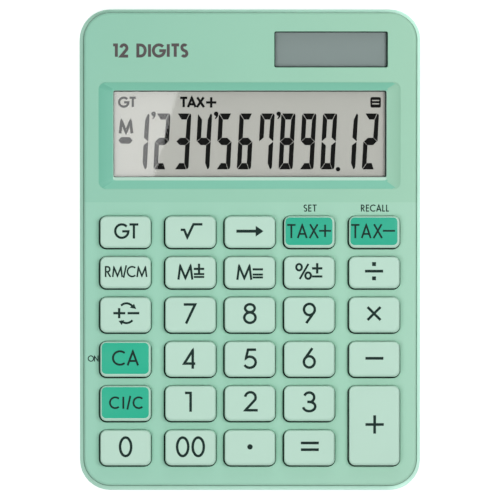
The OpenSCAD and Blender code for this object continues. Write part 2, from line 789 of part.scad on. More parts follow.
module key_grand_total() { key(0, 0, PALE_MINT); }
module key_square_root() { key(1, 0, PALE_MINT); }
module key_digit_shift() { key(2, 0, PALE_MINT); }
module key_tax_plus() { key(3, 0, GREEN); }
module key_tax_minus() { key(4, 0, GREEN); }
module key_memory_recall() { key(0, 1, PALE_MINT); }
module key_memory_plus() { key(1, 1, PALE_MINT); }
module key_memory_minus() { key(2, 1, PALE_MINT); }
module key_percent() { key(3, 1, PALE_MINT); }
module key_divide() { key(4, 1, PALE_MINT); }
module key_sign_change() { key(0, 2, PALE_MINT); }
module key_7() { key(1, 2, PALE_MINT); }
module key_8() { key(2, 2, PALE_MINT); }
module key_9() { key(3, 2, PALE_MINT); }
module key_multiply() { key(4, 2, PALE_MINT); }
module key_clear_all() { key(0, 3, GREEN); }
module key_4() { key(1, 3, PALE_MINT); }
module key_5() { key(2, 3, PALE_MINT); }
module key_6() { key(3, 3, PALE_MINT); }
module key_minus() { key(4, 3, PALE_MINT); }
module key_clear_entry() { key(0, 4, GREEN); }
module key_1() { key(1, 4, PALE_MINT); }
module key_2() { key(2, 4, PALE_MINT); }
module key_3() { key(3, 4, PALE_MINT); }
module key_plus() {
  half = (key_y(rows[4]) - key_y(rows[5])) / 2;
  color(PALE_MINT) key_at(4, (rows[4] + rows[5]) / 2) key_cap(tall_key_d, [-half, half]);
}
module key_0() { key(0, 5, PALE_MINT); }
module key_00() { key(1, 5, PALE_MINT); }
module key_point() { key(2, 5, PALE_MINT); }
module key_equals() { key(3, 5, PALE_MINT); }

upper_case();
lower_case();
case_screws();
rubber_feet();
display_lens();
lcd_front_glass();
lcd_rear_glass();
lcd_holder();
lcd_holder_screws();
lcd_ribbon();
solar_window();
solar_cell();
solar_pad();
solar_wire_plus();
solar_wire_minus();
rubber_keypad();
circuit_board();
board_screws();
chip_blob();
capacitor();
button_cell();
battery_contact_plus();
battery_contact_minus();
battery_wire_plus();
battery_wire_minus();
battery_cover();
battery_cover_screw();
key_grand_total();
key_square_root();
key_digit_shift();
key_tax_plus();
key_tax_minus();
key_memory_recall();
key_memory_plus();
key_memory_minus();
key_percent();
key_divide();
key_sign_change();
key_7();
key_8();
key_9();
key_multiply();
key_clear_all();
key_4();
key_5();
key_6();
key_minus();
key_clear_entry();
key_1();
key_2();
key_3();
key_plus();
key_0();
key_00();
key_point();
key_equals();
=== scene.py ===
"""A mint mini-desktop calculator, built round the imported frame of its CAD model.

Lengths of the object are millimetres until a mesh is made; meshes and the stage are in metres.
"""
import json
import math

import bmesh
import bpy
from mathutils import Matrix, Vector
from mathutils.geometry import delaunay_2d_cdt


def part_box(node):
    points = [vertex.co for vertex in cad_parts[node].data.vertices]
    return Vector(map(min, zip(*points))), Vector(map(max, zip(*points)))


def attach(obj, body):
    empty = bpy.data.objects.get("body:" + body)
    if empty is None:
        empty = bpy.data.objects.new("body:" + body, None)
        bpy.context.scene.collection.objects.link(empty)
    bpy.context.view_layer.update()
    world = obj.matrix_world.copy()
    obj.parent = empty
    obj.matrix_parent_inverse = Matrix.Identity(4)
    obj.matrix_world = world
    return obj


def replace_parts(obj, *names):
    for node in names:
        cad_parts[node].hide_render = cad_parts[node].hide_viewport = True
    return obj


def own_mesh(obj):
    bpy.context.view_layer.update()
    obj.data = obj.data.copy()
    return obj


MM = 0.001
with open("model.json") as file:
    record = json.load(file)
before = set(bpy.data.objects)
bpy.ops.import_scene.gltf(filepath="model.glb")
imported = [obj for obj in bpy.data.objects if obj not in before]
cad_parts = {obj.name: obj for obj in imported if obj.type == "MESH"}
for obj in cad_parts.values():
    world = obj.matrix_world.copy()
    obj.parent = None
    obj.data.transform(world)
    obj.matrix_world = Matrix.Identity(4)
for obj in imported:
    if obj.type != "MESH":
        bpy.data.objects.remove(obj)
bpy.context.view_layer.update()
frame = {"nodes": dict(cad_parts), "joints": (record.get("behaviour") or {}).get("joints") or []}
nodes = frame["nodes"]


# -------- frames of the two faces

UPWARD = 0.7
SAME_WAY = 0.99995


def largest_top_normal(node):
    """Normal of the largest triangle of a CAD node that faces roughly up."""
    tops = [p for p in nodes[node].data.polygons if p.normal.z > UPWARD]
    return max(tops, key=lambda p: p.area).normal.copy()


def face_height(node, up):
    """Distance along up of the largest triangle that faces up."""
    flat = [p for p in nodes[node].data.polygons if p.normal.dot(up) > SAME_WAY]
    return max(flat, key=lambda p: p.area).center.dot(up)


def tilted(up, y, z):
    """Matrix of a frame whose Z axis is up and whose X axis is the object's."""
    back = up.cross(Vector((1, 0, 0)))
    axes = Matrix(((1, back.x, up.x), (0, back.y, up.y), (0, back.z, up.z))).to_4x4()
    return Matrix.Translation((0, y, z)) @ axes


key_joint = next(joint for joint in frame["joints"] if joint["name"].startswith("press_"))
KEY_UP = -Vector(key_joint["axis"]).normalized()
HEAD_UP = largest_top_normal("display_lens")
key_d0 = face_height("upper_case", KEY_UP)
head_d0 = face_height("upper_case", HEAD_UP)
det = KEY_UP.y * HEAD_UP.z - KEY_UP.z * HEAD_UP.y
BEND_Y = (key_d0 * HEAD_UP.z - head_d0 * KEY_UP.z) / det
BEND_Z = (KEY_UP.y * head_d0 - HEAD_UP.y * key_d0) / det
KEYS = tilted(KEY_UP, BEND_Y, BEND_Z)
HEAD = tilted(HEAD_UP, BEND_Y, BEND_Z)
key_slope = -KEY_UP.y / KEY_UP.z
head_slope = -HEAD_UP.y / HEAD_UP.z


def face_z(y):
    """Height in millimetres of the case's face above a point of its footprint."""
    slope = key_slope if y < BEND_Y / MM else head_slope
    return BEND_Z / MM + (y - BEND_Y / MM) * slope


def local_box(node, place, above=None):
    """Lowest and highest corner of a CAD node, or of what is above a height, in one of the frames."""
    back = place.inverted()
    points = [back @ v.co / MM for v in nodes[node].data.vertices]
    if above is not None:
        points = [p for p in points if p.z > above]
    low = [min(p[n] for p in points) for n in range(3)]
    high = [max(p[n] for p in points) for n in range(3)]
    return low, high


# -------- meshes

WELD = 1e-7
FILL_JOIN = 1e-6
SHARP_ANGLE = math.radians(38)


class Shell:
    """Collects rings of points and the faces between them."""

    def __init__(self):
        self.points = []
        self.faces = []
        self.slots = []

    def ring(self, points):
        """Adds points in millimetres and gives their numbers."""
        first = len(self.points)
        self.points += [Vector(p) for p in points]
        return list(range(first, len(self.points)))

    def face(self, corners, slot=0):
        self.faces.append(corners)
        self.slots.append(slot)

    def bridge(self, a, b, slot=0):
        """Strip of faces between two closed rings of the same length."""
        count = len(a)
        for n in range(count):
            m = (n + 1) % count
            self.face([a[n], a[m], b[m], b[n]], slot)

    def stack(self, rings, slot=0):
        for a, b in zip(rings, rings[1:]):
            self.bridge(a, b, slot)

    def fill(self, place, outer, holes, down=False):
        """Flat face with holes; place is the frame whose XY plane it lies along."""
        back = place.inverted()
        loops = [outer] + holes
        numbers = [n for loop in loops for n in loop]
        flat = [(back @ (self.points[n] * MM) / MM).to_2d() for n in numbers]
        spans = []
        first = 0
        for loop in loops:
            spans.append(list(range(first, first + len(loop))))
            first += len(loop)
        result = delaunay_2d_cdt(flat, [], spans, 0, FILL_JOIN, True)
        triangles, origins, owners = result[2], result[3], result[5]
        for triangle, owner in zip(triangles, owners):
            if list(owner) == [0]:
                corners = [numbers[origins[v][0]] for v in triangle]
                self.face(corners[::-1] if down else corners)

    def build(self, name, finishes, body, weld=True):
        """Makes the object, smooth-shaded, in metres, riding on a body."""
        mesh = bpy.data.meshes.new(name)
        mesh.from_pydata([p * MM for p in self.points], [], self.faces)
        for finish in finishes:
            mesh.materials.append(finish)
        for polygon, number in zip(mesh.polygons, self.slots):
            polygon.material_index = number
        piece = add_object(name, mesh)
        tidy(mesh, weld)
        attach(piece, body)
        return piece


def add_object(name, data):
    piece = bpy.data.objects.new(name, data)
    bpy.context.scene.collection.objects.link(piece)
    return piece


def tidy(mesh, weld):
    """Welds close points, points the normals outwards and marks the sharp edges."""
    work = bmesh.new()
    work.from_mesh(mesh)
    if weld:
        bmesh.ops.remove_doubles(work, verts=work.verts, dist=WELD)
    bmesh.ops.recalc_face_normals(work, faces=work.faces)
    work.to_mesh(mesh)
    work.free()
    mesh.shade_smooth()
    mesh.set_sharp_from_angle(angle=SHARP_ANGLE)


def outline(x0, x1, y0, y1, r, steps=8, bend=None):
    """Rounded rectangle, anticlockwise; with bend, both long sides get a point at that Y."""
    points = []
    corners = ((x1 - r, y1 - r), (x0 + r, y1 - r), (x0 + r, y0 + r), (x1 - r, y0 + r))
    for quarter, (cx, cy) in enumerate(corners):
        for n in range(steps + 1):
            a = math.radians(90 * (quarter + n / steps))
            points.append((cx + r * math.cos(a), cy + r * math.sin(a)))
        if bend is not None and quarter in (1, 3):
            points.append((x0 if quarter == 1 else x1, bend))
    return points


def rounded(cx, cy, w, h, r):
    return outline(cx - w / 2, cx + w / 2, cy - h / 2, cy + h / 2, r)


def circle(cx, cy, r, steps=32):
    return [(cx + r * math.cos(math.tau * n / steps), cy + r * math.sin(math.tau * n / steps))
            for n in range(steps)]


def quarter_round(r, steps):
    """Rings of a rounded edge: how far each lies from the wall, and how far down from the face."""
    for step in range(steps + 1):
        a = math.radians(90 * step / steps)
        yield r * (1 - math.sin(a)), r * (1 - math.cos(a))


def lifted(place, flat, z):
    """Points of a flat outline at the height z of a frame, in millimetres of the object's frame."""
    return [place @ (Vector((x, y, z)) * MM) / MM for x, y in flat]


def slab(shell, place, levels):
    """Closed solid from outlines and their heights, lowest first."""
    rings = [shell.ring(lifted(place, flat, z)) for flat, z in levels]
    shell.stack(rings)
    shell.face(rings[-1])
    shell.face(rings[0][::-1])


# -------- materials

PAINTED_LIGHT_SWEEP_REACH = 0.05
ACRYLIC_IOR = 1.49
NOISE_RANGE = (0.3, 0.7)
SPECK_SIZE = 0.25


def socket(node, name, value):
    node.inputs[name].default_value = value


def add_node(tree, kind, operation=None):
    node = tree.nodes.new("ShaderNode" + kind)
    if operation:
        node.operation = operation
    return node


def new_material(name):
    """An empty procedural material and its node tree, which still has its principled shader."""
    material = bpy.data.materials.new(name)
    material.use_nodes = True
    return material, material.node_tree


def show(tree, output):
    """Makes an output the surface of its material."""
    tree.links.new(output, tree.nodes["Material Output"].inputs["Surface"])


def map_range(tree, values, source, target):
    """Stretches values from one range to another."""
    stretch = add_node(tree, "MapRange")
    names = ("From Min", "From Max", "To Min", "To Max")
    for name, value in zip(names, (*source, *target)):
        socket(stretch, name, value)
    tree.links.new(values, stretch.inputs["Value"])
    return stretch.outputs["Result"]


def make(name, colour, rough=0.45, mottle=0.02, mottle_size=18, grain=0.0, grain_size=0.3,
         specular=0.5, metal=0.0, rough_vary=0.06, painted_light_sweep=None):
    """A procedural finish: colour and roughness vary slowly, and a fine grain lifts the surface.

    Sizes are in millimetres. The last argument is painted light and shade: how much red, green and
    blue grow from the middle to the right edge, and fall as much to the left.
    """
    material, tree = new_material(name)
    shader = tree.nodes["Principled BSDF"]
    link = tree.links.new
    place = add_node(tree, "TexCoord")

    def noise(size, detail):
        texture = add_node(tree, "TexNoise")
        socket(texture, "Scale", 1000 / size)
        socket(texture, "Detail", detail)
        link(place.outputs["Object"], texture.inputs["Vector"])
        return texture.outputs["Fac"]

    def spread(size, detail, middle, swing):
        """Values that wander from middle - swing to middle + swing."""
        return map_range(tree, noise(size, detail), NOISE_RANGE, (middle - swing, middle + swing))

    tint = add_node(tree, "VectorMath", "SCALE")
    socket(tint, 0, colour[:3])
    link(spread(mottle_size, 4, 1, mottle), tint.inputs["Scale"])
    if painted_light_sweep:
        across = add_node(tree, "SeparateXYZ")
        link(place.outputs["Object"], across.inputs["Vector"])
        change = add_node(tree, "VectorMath", "MULTIPLY_ADD")
        socket(change, 1, [growth / PAINTED_LIGHT_SWEEP_REACH for growth in painted_light_sweep])
        socket(change, 2, (1, 1, 1))
        link(across.outputs["X"], change.inputs[0])
        even_tint = tint
        tint = add_node(tree, "VectorMath", "MULTIPLY")
        link(even_tint.outputs["Vector"], tint.inputs[0])
        link(change.outputs["Vector"], tint.inputs[1])
    link(tint.outputs["Vector"], shader.inputs["Base Color"])

    link(spread(mottle_size * SPECK_SIZE, 3, rough, rough_vary), shader.inputs["Roughness"])
    if grain:
        bump = add_node(tree, "Bump")
        socket(bump, "Strength", 1.0)
        socket(bump, "Distance", grain * MM)
        link(noise(grain_size, 2), bump.inputs["Height"])
        link(bump.outputs["Normal"], shader.inputs["Normal"])
    socket(shader, "Metallic", metal)
    socket(shader, "Specular IOR Level", specular)
    return material


def shade(r, g, b):
    """A colour given as on a screen, 0 to 255, turned into the linear values that Blender uses."""
    linear = []
    for value in (r, g, b):
        part = value / 255
        linear.append(part / 12.92 if part < 0.04045 else ((part + 0.055) / 1.055) ** 2.4)
    return (*linear, 1)


def clear(name, tint, rough=0.02):
    """Clear sheet: light goes straight through, tinted, and a little is mirrored on its outer side."""
    material, tree = new_material(name)
    link = tree.links.new
    tree.nodes.remove(tree.nodes["Principled BSDF"])
    through = add_node(tree, "BsdfTransparent")
    socket(through, "Color", tint)
    mirror = add_node(tree, "BsdfGlossy")
    socket(mirror, "Roughness", rough)
    fresnel = add_node(tree, "Fresnel")
    socket(fresnel, "IOR", ACRYLIC_IOR)
    side = add_node(tree, "NewGeometry")
    outside = add_node(tree, "Math", "SUBTRACT")
    outside.use_clamp = True
    link(fresnel.outputs["Fac"], outside.inputs[0])
    link(side.outputs["Backfacing"], outside.inputs[1])
    mix = add_node(tree, "MixShader")
    link(outside.outputs["Value"], mix.inputs["Fac"])
    link(through.outputs["BSDF"], mix.inputs[1])
    link(mirror.outputs["BSDF"], mix.inputs[2])
    show(tree, mix.outputs["Shader"])
    return material


def moulded(name, colour, painted_light_sweep):
    """The fine matt grain of the outside of the case."""
    return make(name, colour, rough=0.5, mottle=0.01, grain=0.006, grain_size=0.35, painted_light_sweep=painted_light_sweep)


# The sweep values of the mint finishes and of the green print are painted light: brighter to the right,
# shaded to the left.
CASE = moulded("mint_case", shade(147, 200, 175), (0.09, 0.02, 0.01))
# Painted light: a lighter copy of the case plastic on the face round the keys, to cancel the shade between
# them.
KEY_AREA_PAINTED_LIGHT = moulded("mint_key_area_painted_light", shade(155, 205, 182), (0.08, 0.02, 0.02))
# Painted shade: darker copies of the case plastic on the bezel's sloping walls, darkest on the left wall; the
# right wall keeps the case's own colour.
BEZEL_PAINTED_SHADE = make("mint_bezel_painted_shade", shade(126, 197, 172), rough=0.48, mottle=0.008, rough_vary=0.03)
BEZEL_LEFT_PAINTED_SHADE = make("mint_bezel_left_painted_shade", shade(111, 184, 160), rough=0.48, mottle=0.008, rough_vary=0.03)
# Painted highlight: a lighter copy of the case plastic on the chamfer round the display window.
LEDGE_PAINTED_HIGHLIGHT = make("mint_ledge_painted_highlight", shade(184, 220, 203), rough=0.35, mottle=0.01)
BASE = moulded("mint_base", shade(152, 202, 178), (0.05, 0.02, 0.02))
# Painted light: a much lighter copy of the case plastic on the lower case's rim, which the upper case's wall
# shades.
RIM_PAINTED_LIGHT = make("mint_rim_painted_light", shade(205, 247, 230), rough=0.42, mottle=0.008, painted_light_sweep=(0.15, 0.12, 0.14))
KEY = make("pale_key", shade(181, 215, 198), rough=0.42, mottle=0.01, grain=0.003, grain_size=0.3)
# Painted shade: near black on the hidden walls of the key openings, where the gaps are in shade.
KEY_WALL_PAINTED_SHADE = make("mint_in_shadow", shade(24, 42, 36), rough=0.7, mottle=0.02, specular=0.1)
GREEN = make("green_print", shade(32, 174, 141), rough=0.5, mottle=0.015, specular=0.35,
             painted_light_sweep=(0.15, -0.05, -0.03))
INK = make("ink", shade(16, 44, 38), rough=0.6, mottle=0.06, mottle_size=3, specular=0.2)
MARK = make("grey_ink", shade(88, 82, 82), rough=0.6, mottle=0.05, mottle_size=3, specular=0.2)
GLASS = make("lcd_glass", shade(193, 190, 186), rough=0.35, mottle=0.006, mottle_size=30)
SEGMENT = make("lcd_segment", shade(8, 8, 7), rough=0.6, mottle=0.03, specular=0.1)
LENS = clear("clear_lens", (0.97, 0.98, 0.97, 1))
SMOKE = clear("smoked_window", (0.93, 0.95, 0.945, 1), rough=0.05)
SOLAR = make("solar_glass", shade(151, 160, 159), rough=0.35, mottle=0.012, mottle_size=30, rough_vary=0.02)
# Painted shadow: dark bands at the edges of the clear windows, standing in for the shade of their openings'
# walls.
PAINTED_SHADOW_BAND = make("dark_painted_shadow", shade(26, 48, 42), rough=0.6, mottle=0.04, specular=0.2)
STEEL = make("steel", shade(190, 192, 196), rough=0.3, metal=1, mottle=0.03, grain=0.004, grain_size=0.6)
RUBBER = make("foot_rubber", shade(52, 56, 55), rough=0.75, mottle=0.05, grain=0.02, grain_size=0.4)
HOLDER = make("holder_plastic", shade(222, 224, 216), rough=0.5, grain=0.004)
FILM = make("ribbon_film", shade(196, 150, 70), rough=0.35, mottle=0.05, mottle_size=4)
FOAM = make("foam", shade(46, 46, 48), rough=0.95, mottle=0.1, mottle_size=2, grain=0.12, grain_size=0.5)
RED = make("red_insulation", shade(190, 40, 34), rough=0.4)
BLACK = make("black_insulation", shade(30, 30, 32), rough=0.4)
SILICONE = make("keypad_rubber", shade(34, 37, 37), rough=0.6, grain=0.01)
BOARD = make("board_laminate", shade(52, 110, 66), rough=0.35, mottle=0.12, mottle_size=6)
RESIN = make("chip_resin", shade(24, 24, 26), rough=0.25, mottle=0.1)
SLEEVE = make("capacitor_sleeve", shade(34, 38, 64), rough=0.35)
CELL = make("cell_steel", shade(204, 204, 200), rough=0.22, metal=1, grain=0.003, grain_size=0.2)
CONTACT = make("contact_metal", shade(206, 190, 140), rough=0.28, metal=1)


NODE_FINISHES = (
    (BASE, "battery_cover"),
    (STEEL, "case_screws", "board_screws", "lcd_holder_screws", "battery_cover_screw"),
    (RUBBER, "rubber_feet"),
    (LENS, "display_lens"),
    (GLASS, "lcd_front_glass", "lcd_rear_glass"),
    (HOLDER, "lcd_holder"),
    (FILM, "lcd_ribbon"),
    (SMOKE, "solar_window"),
    (SOLAR, "solar_cell"),
    (FOAM, "solar_pad"),
    (RED, "solar_wire_plus", "battery_wire_plus"),
    (BLACK, "solar_wire_minus", "battery_wire_minus"),
    (BOARD, "circuit_board"),
    (RESIN, "chip_blob"),
    (SLEEVE, "capacitor"),
    (CELL, "button_cell"),
    (CONTACT, "battery_contact_plus", "battery_contact_minus"),
)


def finish_node(name, finish):
    piece = nodes[name]
    if not piece.material_slots:
        piece.data.materials.append(finish)
    for place in piece.material_slots:
        place.material = finish


for node_finish, *node_names in NODE_FINISHES:
    for node_name in node_names:
        finish_node(node_name, node_finish)


# -------- upper case

UPPER_H = 6
FACE_T = 2
WALL = 2
EDGE_R = 0.8
EDGE_STEPS = 8
UPPER_R = 8.15
UPPER_R_STEPS = 12
# How far the opening of a key reaches beyond its cap on each side.
GAP_RIGHT = 0.18
GAP_REAR = 0.09
GAP_LEFT = 0.46
GAP_FRONT = 0.52
KEY_R = 1.9
LIP_R = 0.14
LIP_STEPS = 4
FLAT_BORDER = 0.25
# How much more of the rim shows at the left and the front than elsewhere.
RIM_MORE_LEFT = 0.12
RIM_MORE_FRONT = 0.3
PANEL_SLOT, BEZEL_PAINTED_SHADE_SLOT, LEDGE_PAINTED_HIGHLIGHT_SLOT, LEFT_PAINTED_SHADE_SLOT, WALL_PAINTED_SHADE_SLOT, KEY_AREA_PAINTED_LIGHT_SLOT = range(6)

KEY_NODES = [name for name in nodes if name.startswith("key_")]
CAP_ABOVE = 0.5
key_boxes = {name: local_box(name, KEYS, above=CAP_ABOVE) for name in KEY_NODES}


def lip_rings(shell, place, x0, x1, y0, y1, r, bottom, lip=LIP_R):
    """Rings of an opening: a flat border on the face, a rounded lip, then the wall down to bottom."""
    def wider(out, z):
        flat = outline(x0 - out, x1 + out, y0 - out, y1 + out, r + out)
        return shell.ring(lifted(place, flat, z))

    rings = [wider(lip + FLAT_BORDER, 0)]
    for out, drop in quarter_round(lip, LIP_STEPS):
        rings.append(wider(out, -drop))
    rings.append(wider(0, bottom))
    return rings


def box_middle(node, place):
    """Middle and size, along X and Y, of a CAD node in one of the frames."""
    low, high = local_box(node, place)
    return (low[0] + high[0]) / 2, (low[1] + high[1]) / 2, high[0] - low[0], high[1] - low[1]


LENS_LAP_X = 1.7
LENS_LAP_Y = 1.45
SOLAR_LAP = 1.15
WINDOW_NEARER_KEYS = 0.27
WINDOW_X, lens_y, lens_w, lens_h = box_middle("display_lens", HEAD)
WINDOW_Y = lens_y - WINDOW_NEARER_KEYS
WINDOW_W = lens_w - 2 * LENS_LAP_X
WINDOW_H = lens_h - 2 * LENS_LAP_Y
BOTTOM_EDGE = 0.2
OVER_PLATE = 0.03
SOLAR_LIP_R = 0.1
SOLAR_RECESS = 2.6


def build_upper_case():
    shell = Shell()
    low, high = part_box("upper_case")
    x0, x1 = low.x / MM, high.x / MM
    y0, y1 = low.y / MM, high.y / MM
    bend = BEND_Y / MM
    key_under = -FACE_T * KEY_UP.z
    head_under = -FACE_T * HEAD_UP.z

    def boundary(inset, drop):
        flat = outline(x0 + RIM_MORE_LEFT + inset, x1 - inset, y0 + RIM_MORE_FRONT + inset, y1 - inset,
                       UPPER_R - inset, UPPER_R_STEPS, bend)
        return shell.ring([(x, y, face_z(y) - drop) for x, y in flat])

    outer = [boundary(EDGE_R + FLAT_BORDER, 0)]
    for inset, drop in quarter_round(EDGE_R, EDGE_STEPS):
        outer.append(boundary(inset, drop))
    outer += [boundary(0, UPPER_H - BOTTOM_EDGE), boundary(BOTTOM_EDGE, UPPER_H), boundary(WALL, UPPER_H)]
    under = boundary(WALL, FACE_T)
    outer.append(under)
    shell.stack(outer)

    def halves(ring):
        """Splits a boundary ring at the bend into the ring round the panel and the ring round the keys."""
        quarter = UPPER_R_STEPS + 1
        right_bend = ring[-1]
        left_bend = ring[2 * quarter]
        head = [right_bend] + ring[:2 * quarter] + [left_bend]
        keys = [left_bend] + ring[2 * quarter + 1:]
        return head, keys

    key_holes, key_under_holes = [], []
    for a, b in key_boxes.values():
        rings = lip_rings(shell, KEYS, a[0] - GAP_LEFT, b[0] + GAP_RIGHT, a[1] - GAP_FRONT, b[1] + GAP_REAR,
                          KEY_R + GAP_LEFT, key_under)
        shell.stack(rings[:-1])
        # The deep part of each opening's wall carries the painted shade.
        shell.bridge(rings[-2], rings[-1], WALL_PAINTED_SHADE_SLOT)
        key_holes.append(rings[0])
        key_under_holes.append(rings[-1])

    bezel_rings = build_bezel(shell, head_under)
    solar_rings = build_solar_opening(shell, head_under)
    head_top, keys_top = halves(outer[0])
    head_low, keys_low = halves(under)
    shell.fill(KEYS, keys_top, key_holes)
    shell.fill(KEYS, keys_low, key_under_holes, down=True)
    shell.fill(HEAD, head_top, [bezel_rings[0], solar_rings[0]])
    shell.fill(HEAD, head_low, [bezel_rings[-1], solar_rings[-1]], down=True)
    # Painted light: the case's faces ahead of the bend take the lighter key-area copy of the case plastic.
    just_past_bend = bend + 0.01
    for n, corners in enumerate(shell.faces):
        if shell.slots[n] == PANEL_SLOT and max(shell.points[c].y for c in corners) < just_past_bend:
            shell.slots[n] = KEY_AREA_PAINTED_LIGHT_SLOT
    finishes = [CASE, BEZEL_PAINTED_SHADE, LEDGE_PAINTED_HIGHLIGHT, BEZEL_LEFT_PAINTED_SHADE, KEY_WALL_PAINTED_SHADE, KEY_AREA_PAINTED_LIGHT]
    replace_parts(shell.build("case_top", finishes, "case"), "upper_case")


def build_bezel(shell, under):
    """The sunk bezel: lip, sloping walls in painted shade, a chamfer round the window with a painted
    highlight, and the frame below.
    """
    left_edge, right_edge = WINDOW_X - WINDOW_W / 2, WINDOW_X + WINDOW_W / 2
    front_edge, rear_edge = WINDOW_Y - WINDOW_H / 2, WINDOW_Y + WINDOW_H / 2
    top = local_box("display_lens", HEAD)[1][2]

    def ring(left, right, front, rear, r, z):
        """Ring round the window: how far each side lies outside the window's edge."""
        flat = outline(left_edge - left, right_edge + right, front_edge - front, rear_edge + rear, r)
        return shell.ring(lifted(HEAD, flat, z))

    def mouth(extra, r, z):
        """Ring near the upper edge of the bezel."""
        return ring(4.6 + extra, 4.25 + extra, 3.35 + extra, 2.85 + extra, r, z)

    edge = [mouth(0.5, 2.7, 0), mouth(0.3, 2.5, 0), mouth(0.16, 2.36, -0.02), mouth(0.05, 2.25, -0.08),
            mouth(-0.05, 2.15, -0.18)]
    slope = [edge[-1], mouth(-0.25, 1.95, -0.34), ring(0.9, 0.9, 1.3, 0.75, 1.2, -1.56),
             ring(0.35, 0.30, 1.02, 0.3, 0.9, -1.76), ring(0.22, 0.18, 0.92, 0.2, 0.8, -1.81)]
    ledge = [slope[-1], ring(0.16, 0.12, 0.86, 0.14, 0.7, -1.82),
             ring(0.04, 0.04, 0.12, 0.04, 0.55, top + 0.14), ring(0, 0, 0, 0, 0.5, top + OVER_PLATE)]
    below = [ledge[-1], ring(0, 0, 0, 0, 0.5, top + 0.01), ring(5, 5, 3.8, 3.7, 1.5, top + 0.01),
             ring(5, 5, 3.8, 3.7, 1.5, under)]
    shell.stack(edge)
    shell.stack(slope, BEZEL_PAINTED_SHADE_SLOT)
    # Painted light and shade: the wall right of the window takes the case's colour, the wall left of it the
    # darkest painted shade.
    for n, corners in enumerate(shell.faces):
        across = [shell.points[c].x for c in corners]
        if shell.slots[n] == BEZEL_PAINTED_SHADE_SLOT and min(across) > right_edge:
            shell.slots[n] = PANEL_SLOT
        elif shell.slots[n] == BEZEL_PAINTED_SHADE_SLOT and max(across) < left_edge:
            shell.slots[n] = LEFT_PAINTED_SHADE_SLOT
    # The chamfer round the window carries the painted highlight.
    shell.stack(ledge, LEDGE_PAINTED_HIGHLIGHT_SLOT)
    shell.stack(below)
    return [edge[0], below[-1]]


def build_solar_opening(shell, under):
    """The opening over the solar window: a small lip, and a recess below that takes the plate."""
    cx, cy, w, h = box_middle("solar_window", HEAD)
    top = local_box("solar_window", HEAD)[1][2] + OVER_PLATE
    w -= 2 * SOLAR_LAP
    h -= 2 * SOLAR_LAP
    rings = lip_rings(shell, HEAD, cx - w / 2, cx + w / 2, cy - h / 2, cy + h / 2, 0.5, top, SOLAR_LIP_R)
    for z in (top, under):
        recess = rounded(cx, cy, w + SOLAR_RECESS, h + SOLAR_RECESS, 0.8)
        rings.append(shell.ring(lifted(HEAD, recess, z)))
    shell.stack(rings)
    return rings


build_upper_case()


# -------- lower case

LOWER_R = 9.4
LOWER_R_STEPS = 16
RIM_W = 1.25
RIM_EDGE_R = 0.3
RIM_EDGE_STEPS = 6
GROOVE_W = 0.28
GROOVE_DEPTH = 0.6
UNDER_WALL = 0.02
RIM_UPWARD = 0.3
CUT_CLEARANCE = 0.4
LARGE_AREA = 300 * MM * MM


def plan_ring(shell, inset, drop, left=0, front=0):
    """Ring that follows the lower case's outline, set in from its edge and down from the face."""
    low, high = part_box("lower_case")
    flat = outline(low.x / MM + inset + left, high.x / MM - inset,
                   low.y / MM + inset + front, high.y / MM - inset,
                   LOWER_R - inset, LOWER_R_STEPS, BEND_Y / MM)
    return shell.ring([(x, y, face_z(y) - drop) for x, y in flat])


def cut(piece, rings_of, left=0, front=0):
    """Takes a closed ring-shaped solid, given by its insets and drops, out of a piece."""
    shell = Shell()
    rings = [plan_ring(shell, inset, drop, left, front) for inset, drop in rings_of]
    shell.stack(rings + rings[:1])
    cutter = shell.build("cutter", [RIM_PAINTED_LIGHT], "case")
    change = piece.modifiers.new("cut", "BOOLEAN")
    change.operation = "DIFFERENCE"
    change.solver = "EXACT"
    change.object = cutter
    bpy.context.view_layer.update()
    result = bpy.data.meshes.new_from_object(piece.evaluated_get(bpy.context.evaluated_depsgraph_get()))
    piece.modifiers.clear()
    piece.data = result
    bpy.data.objects.remove(cutter)


def flatten_large_planes(mesh):
    """Shades the faces of every large plane flat, so that long thin triangles in it stay unseen."""
    def way(polygon):
        return tuple(round(part, 3) for part in polygon.normal)

    areas = {}
    for polygon in mesh.polygons:
        areas[way(polygon)] = areas.get(way(polygon), 0) + polygon.area
    for polygon in mesh.polygons:
        if areas[way(polygon)] > LARGE_AREA:
            polygon.use_smooth = False


def build_lower_case():
    """The tray with a rounded rim and a fine groove where the two halves of the case meet."""
    piece = add_object("case_base", nodes["lower_case"].data.copy())
    rounding = [(inset, UPPER_H + drop) for inset, drop in quarter_round(RIM_EDGE_R, RIM_EDGE_STEPS)]
    above = UPPER_H - CUT_CLEARANCE
    rounding += [(-CUT_CLEARANCE, UPPER_H + RIM_EDGE_R), (-CUT_CLEARANCE, above), (RIM_EDGE_R, above)]
    cut(piece, rounding)
    inner, outer = RIM_W + UNDER_WALL, RIM_W - GROOVE_W
    floor_drop = UPPER_H + GROOVE_DEPTH
    groove = [(outer, above), (outer, floor_drop), (inner, floor_drop), (inner, above)]
    cut(piece, groove, RIM_MORE_LEFT, RIM_MORE_FRONT)
    mesh = piece.data
    mesh.materials.clear()
    mesh.materials.append(BASE)
    # The rim's upward faces take the painted light.
    mesh.materials.append(RIM_PAINTED_LIGHT)
    for polygon in mesh.polygons:
        centre = polygon.center / MM
        in_rim = face_z(centre.y) - centre.z < UPPER_H + RIM_EDGE_R and polygon.normal.z > RIM_UPWARD
        polygon.material_index = 1 if in_rim else 0
    tidy(mesh, True)
    flatten_large_planes(mesh)
    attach(piece, "case")
    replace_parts(piece, "lower_case")


build_lower_case()


# -------- painted shadows at the edges of the clear plates

HIDDEN_W = 0.5
SURROUND_R = 0.4
SURROUND_T = 0.02


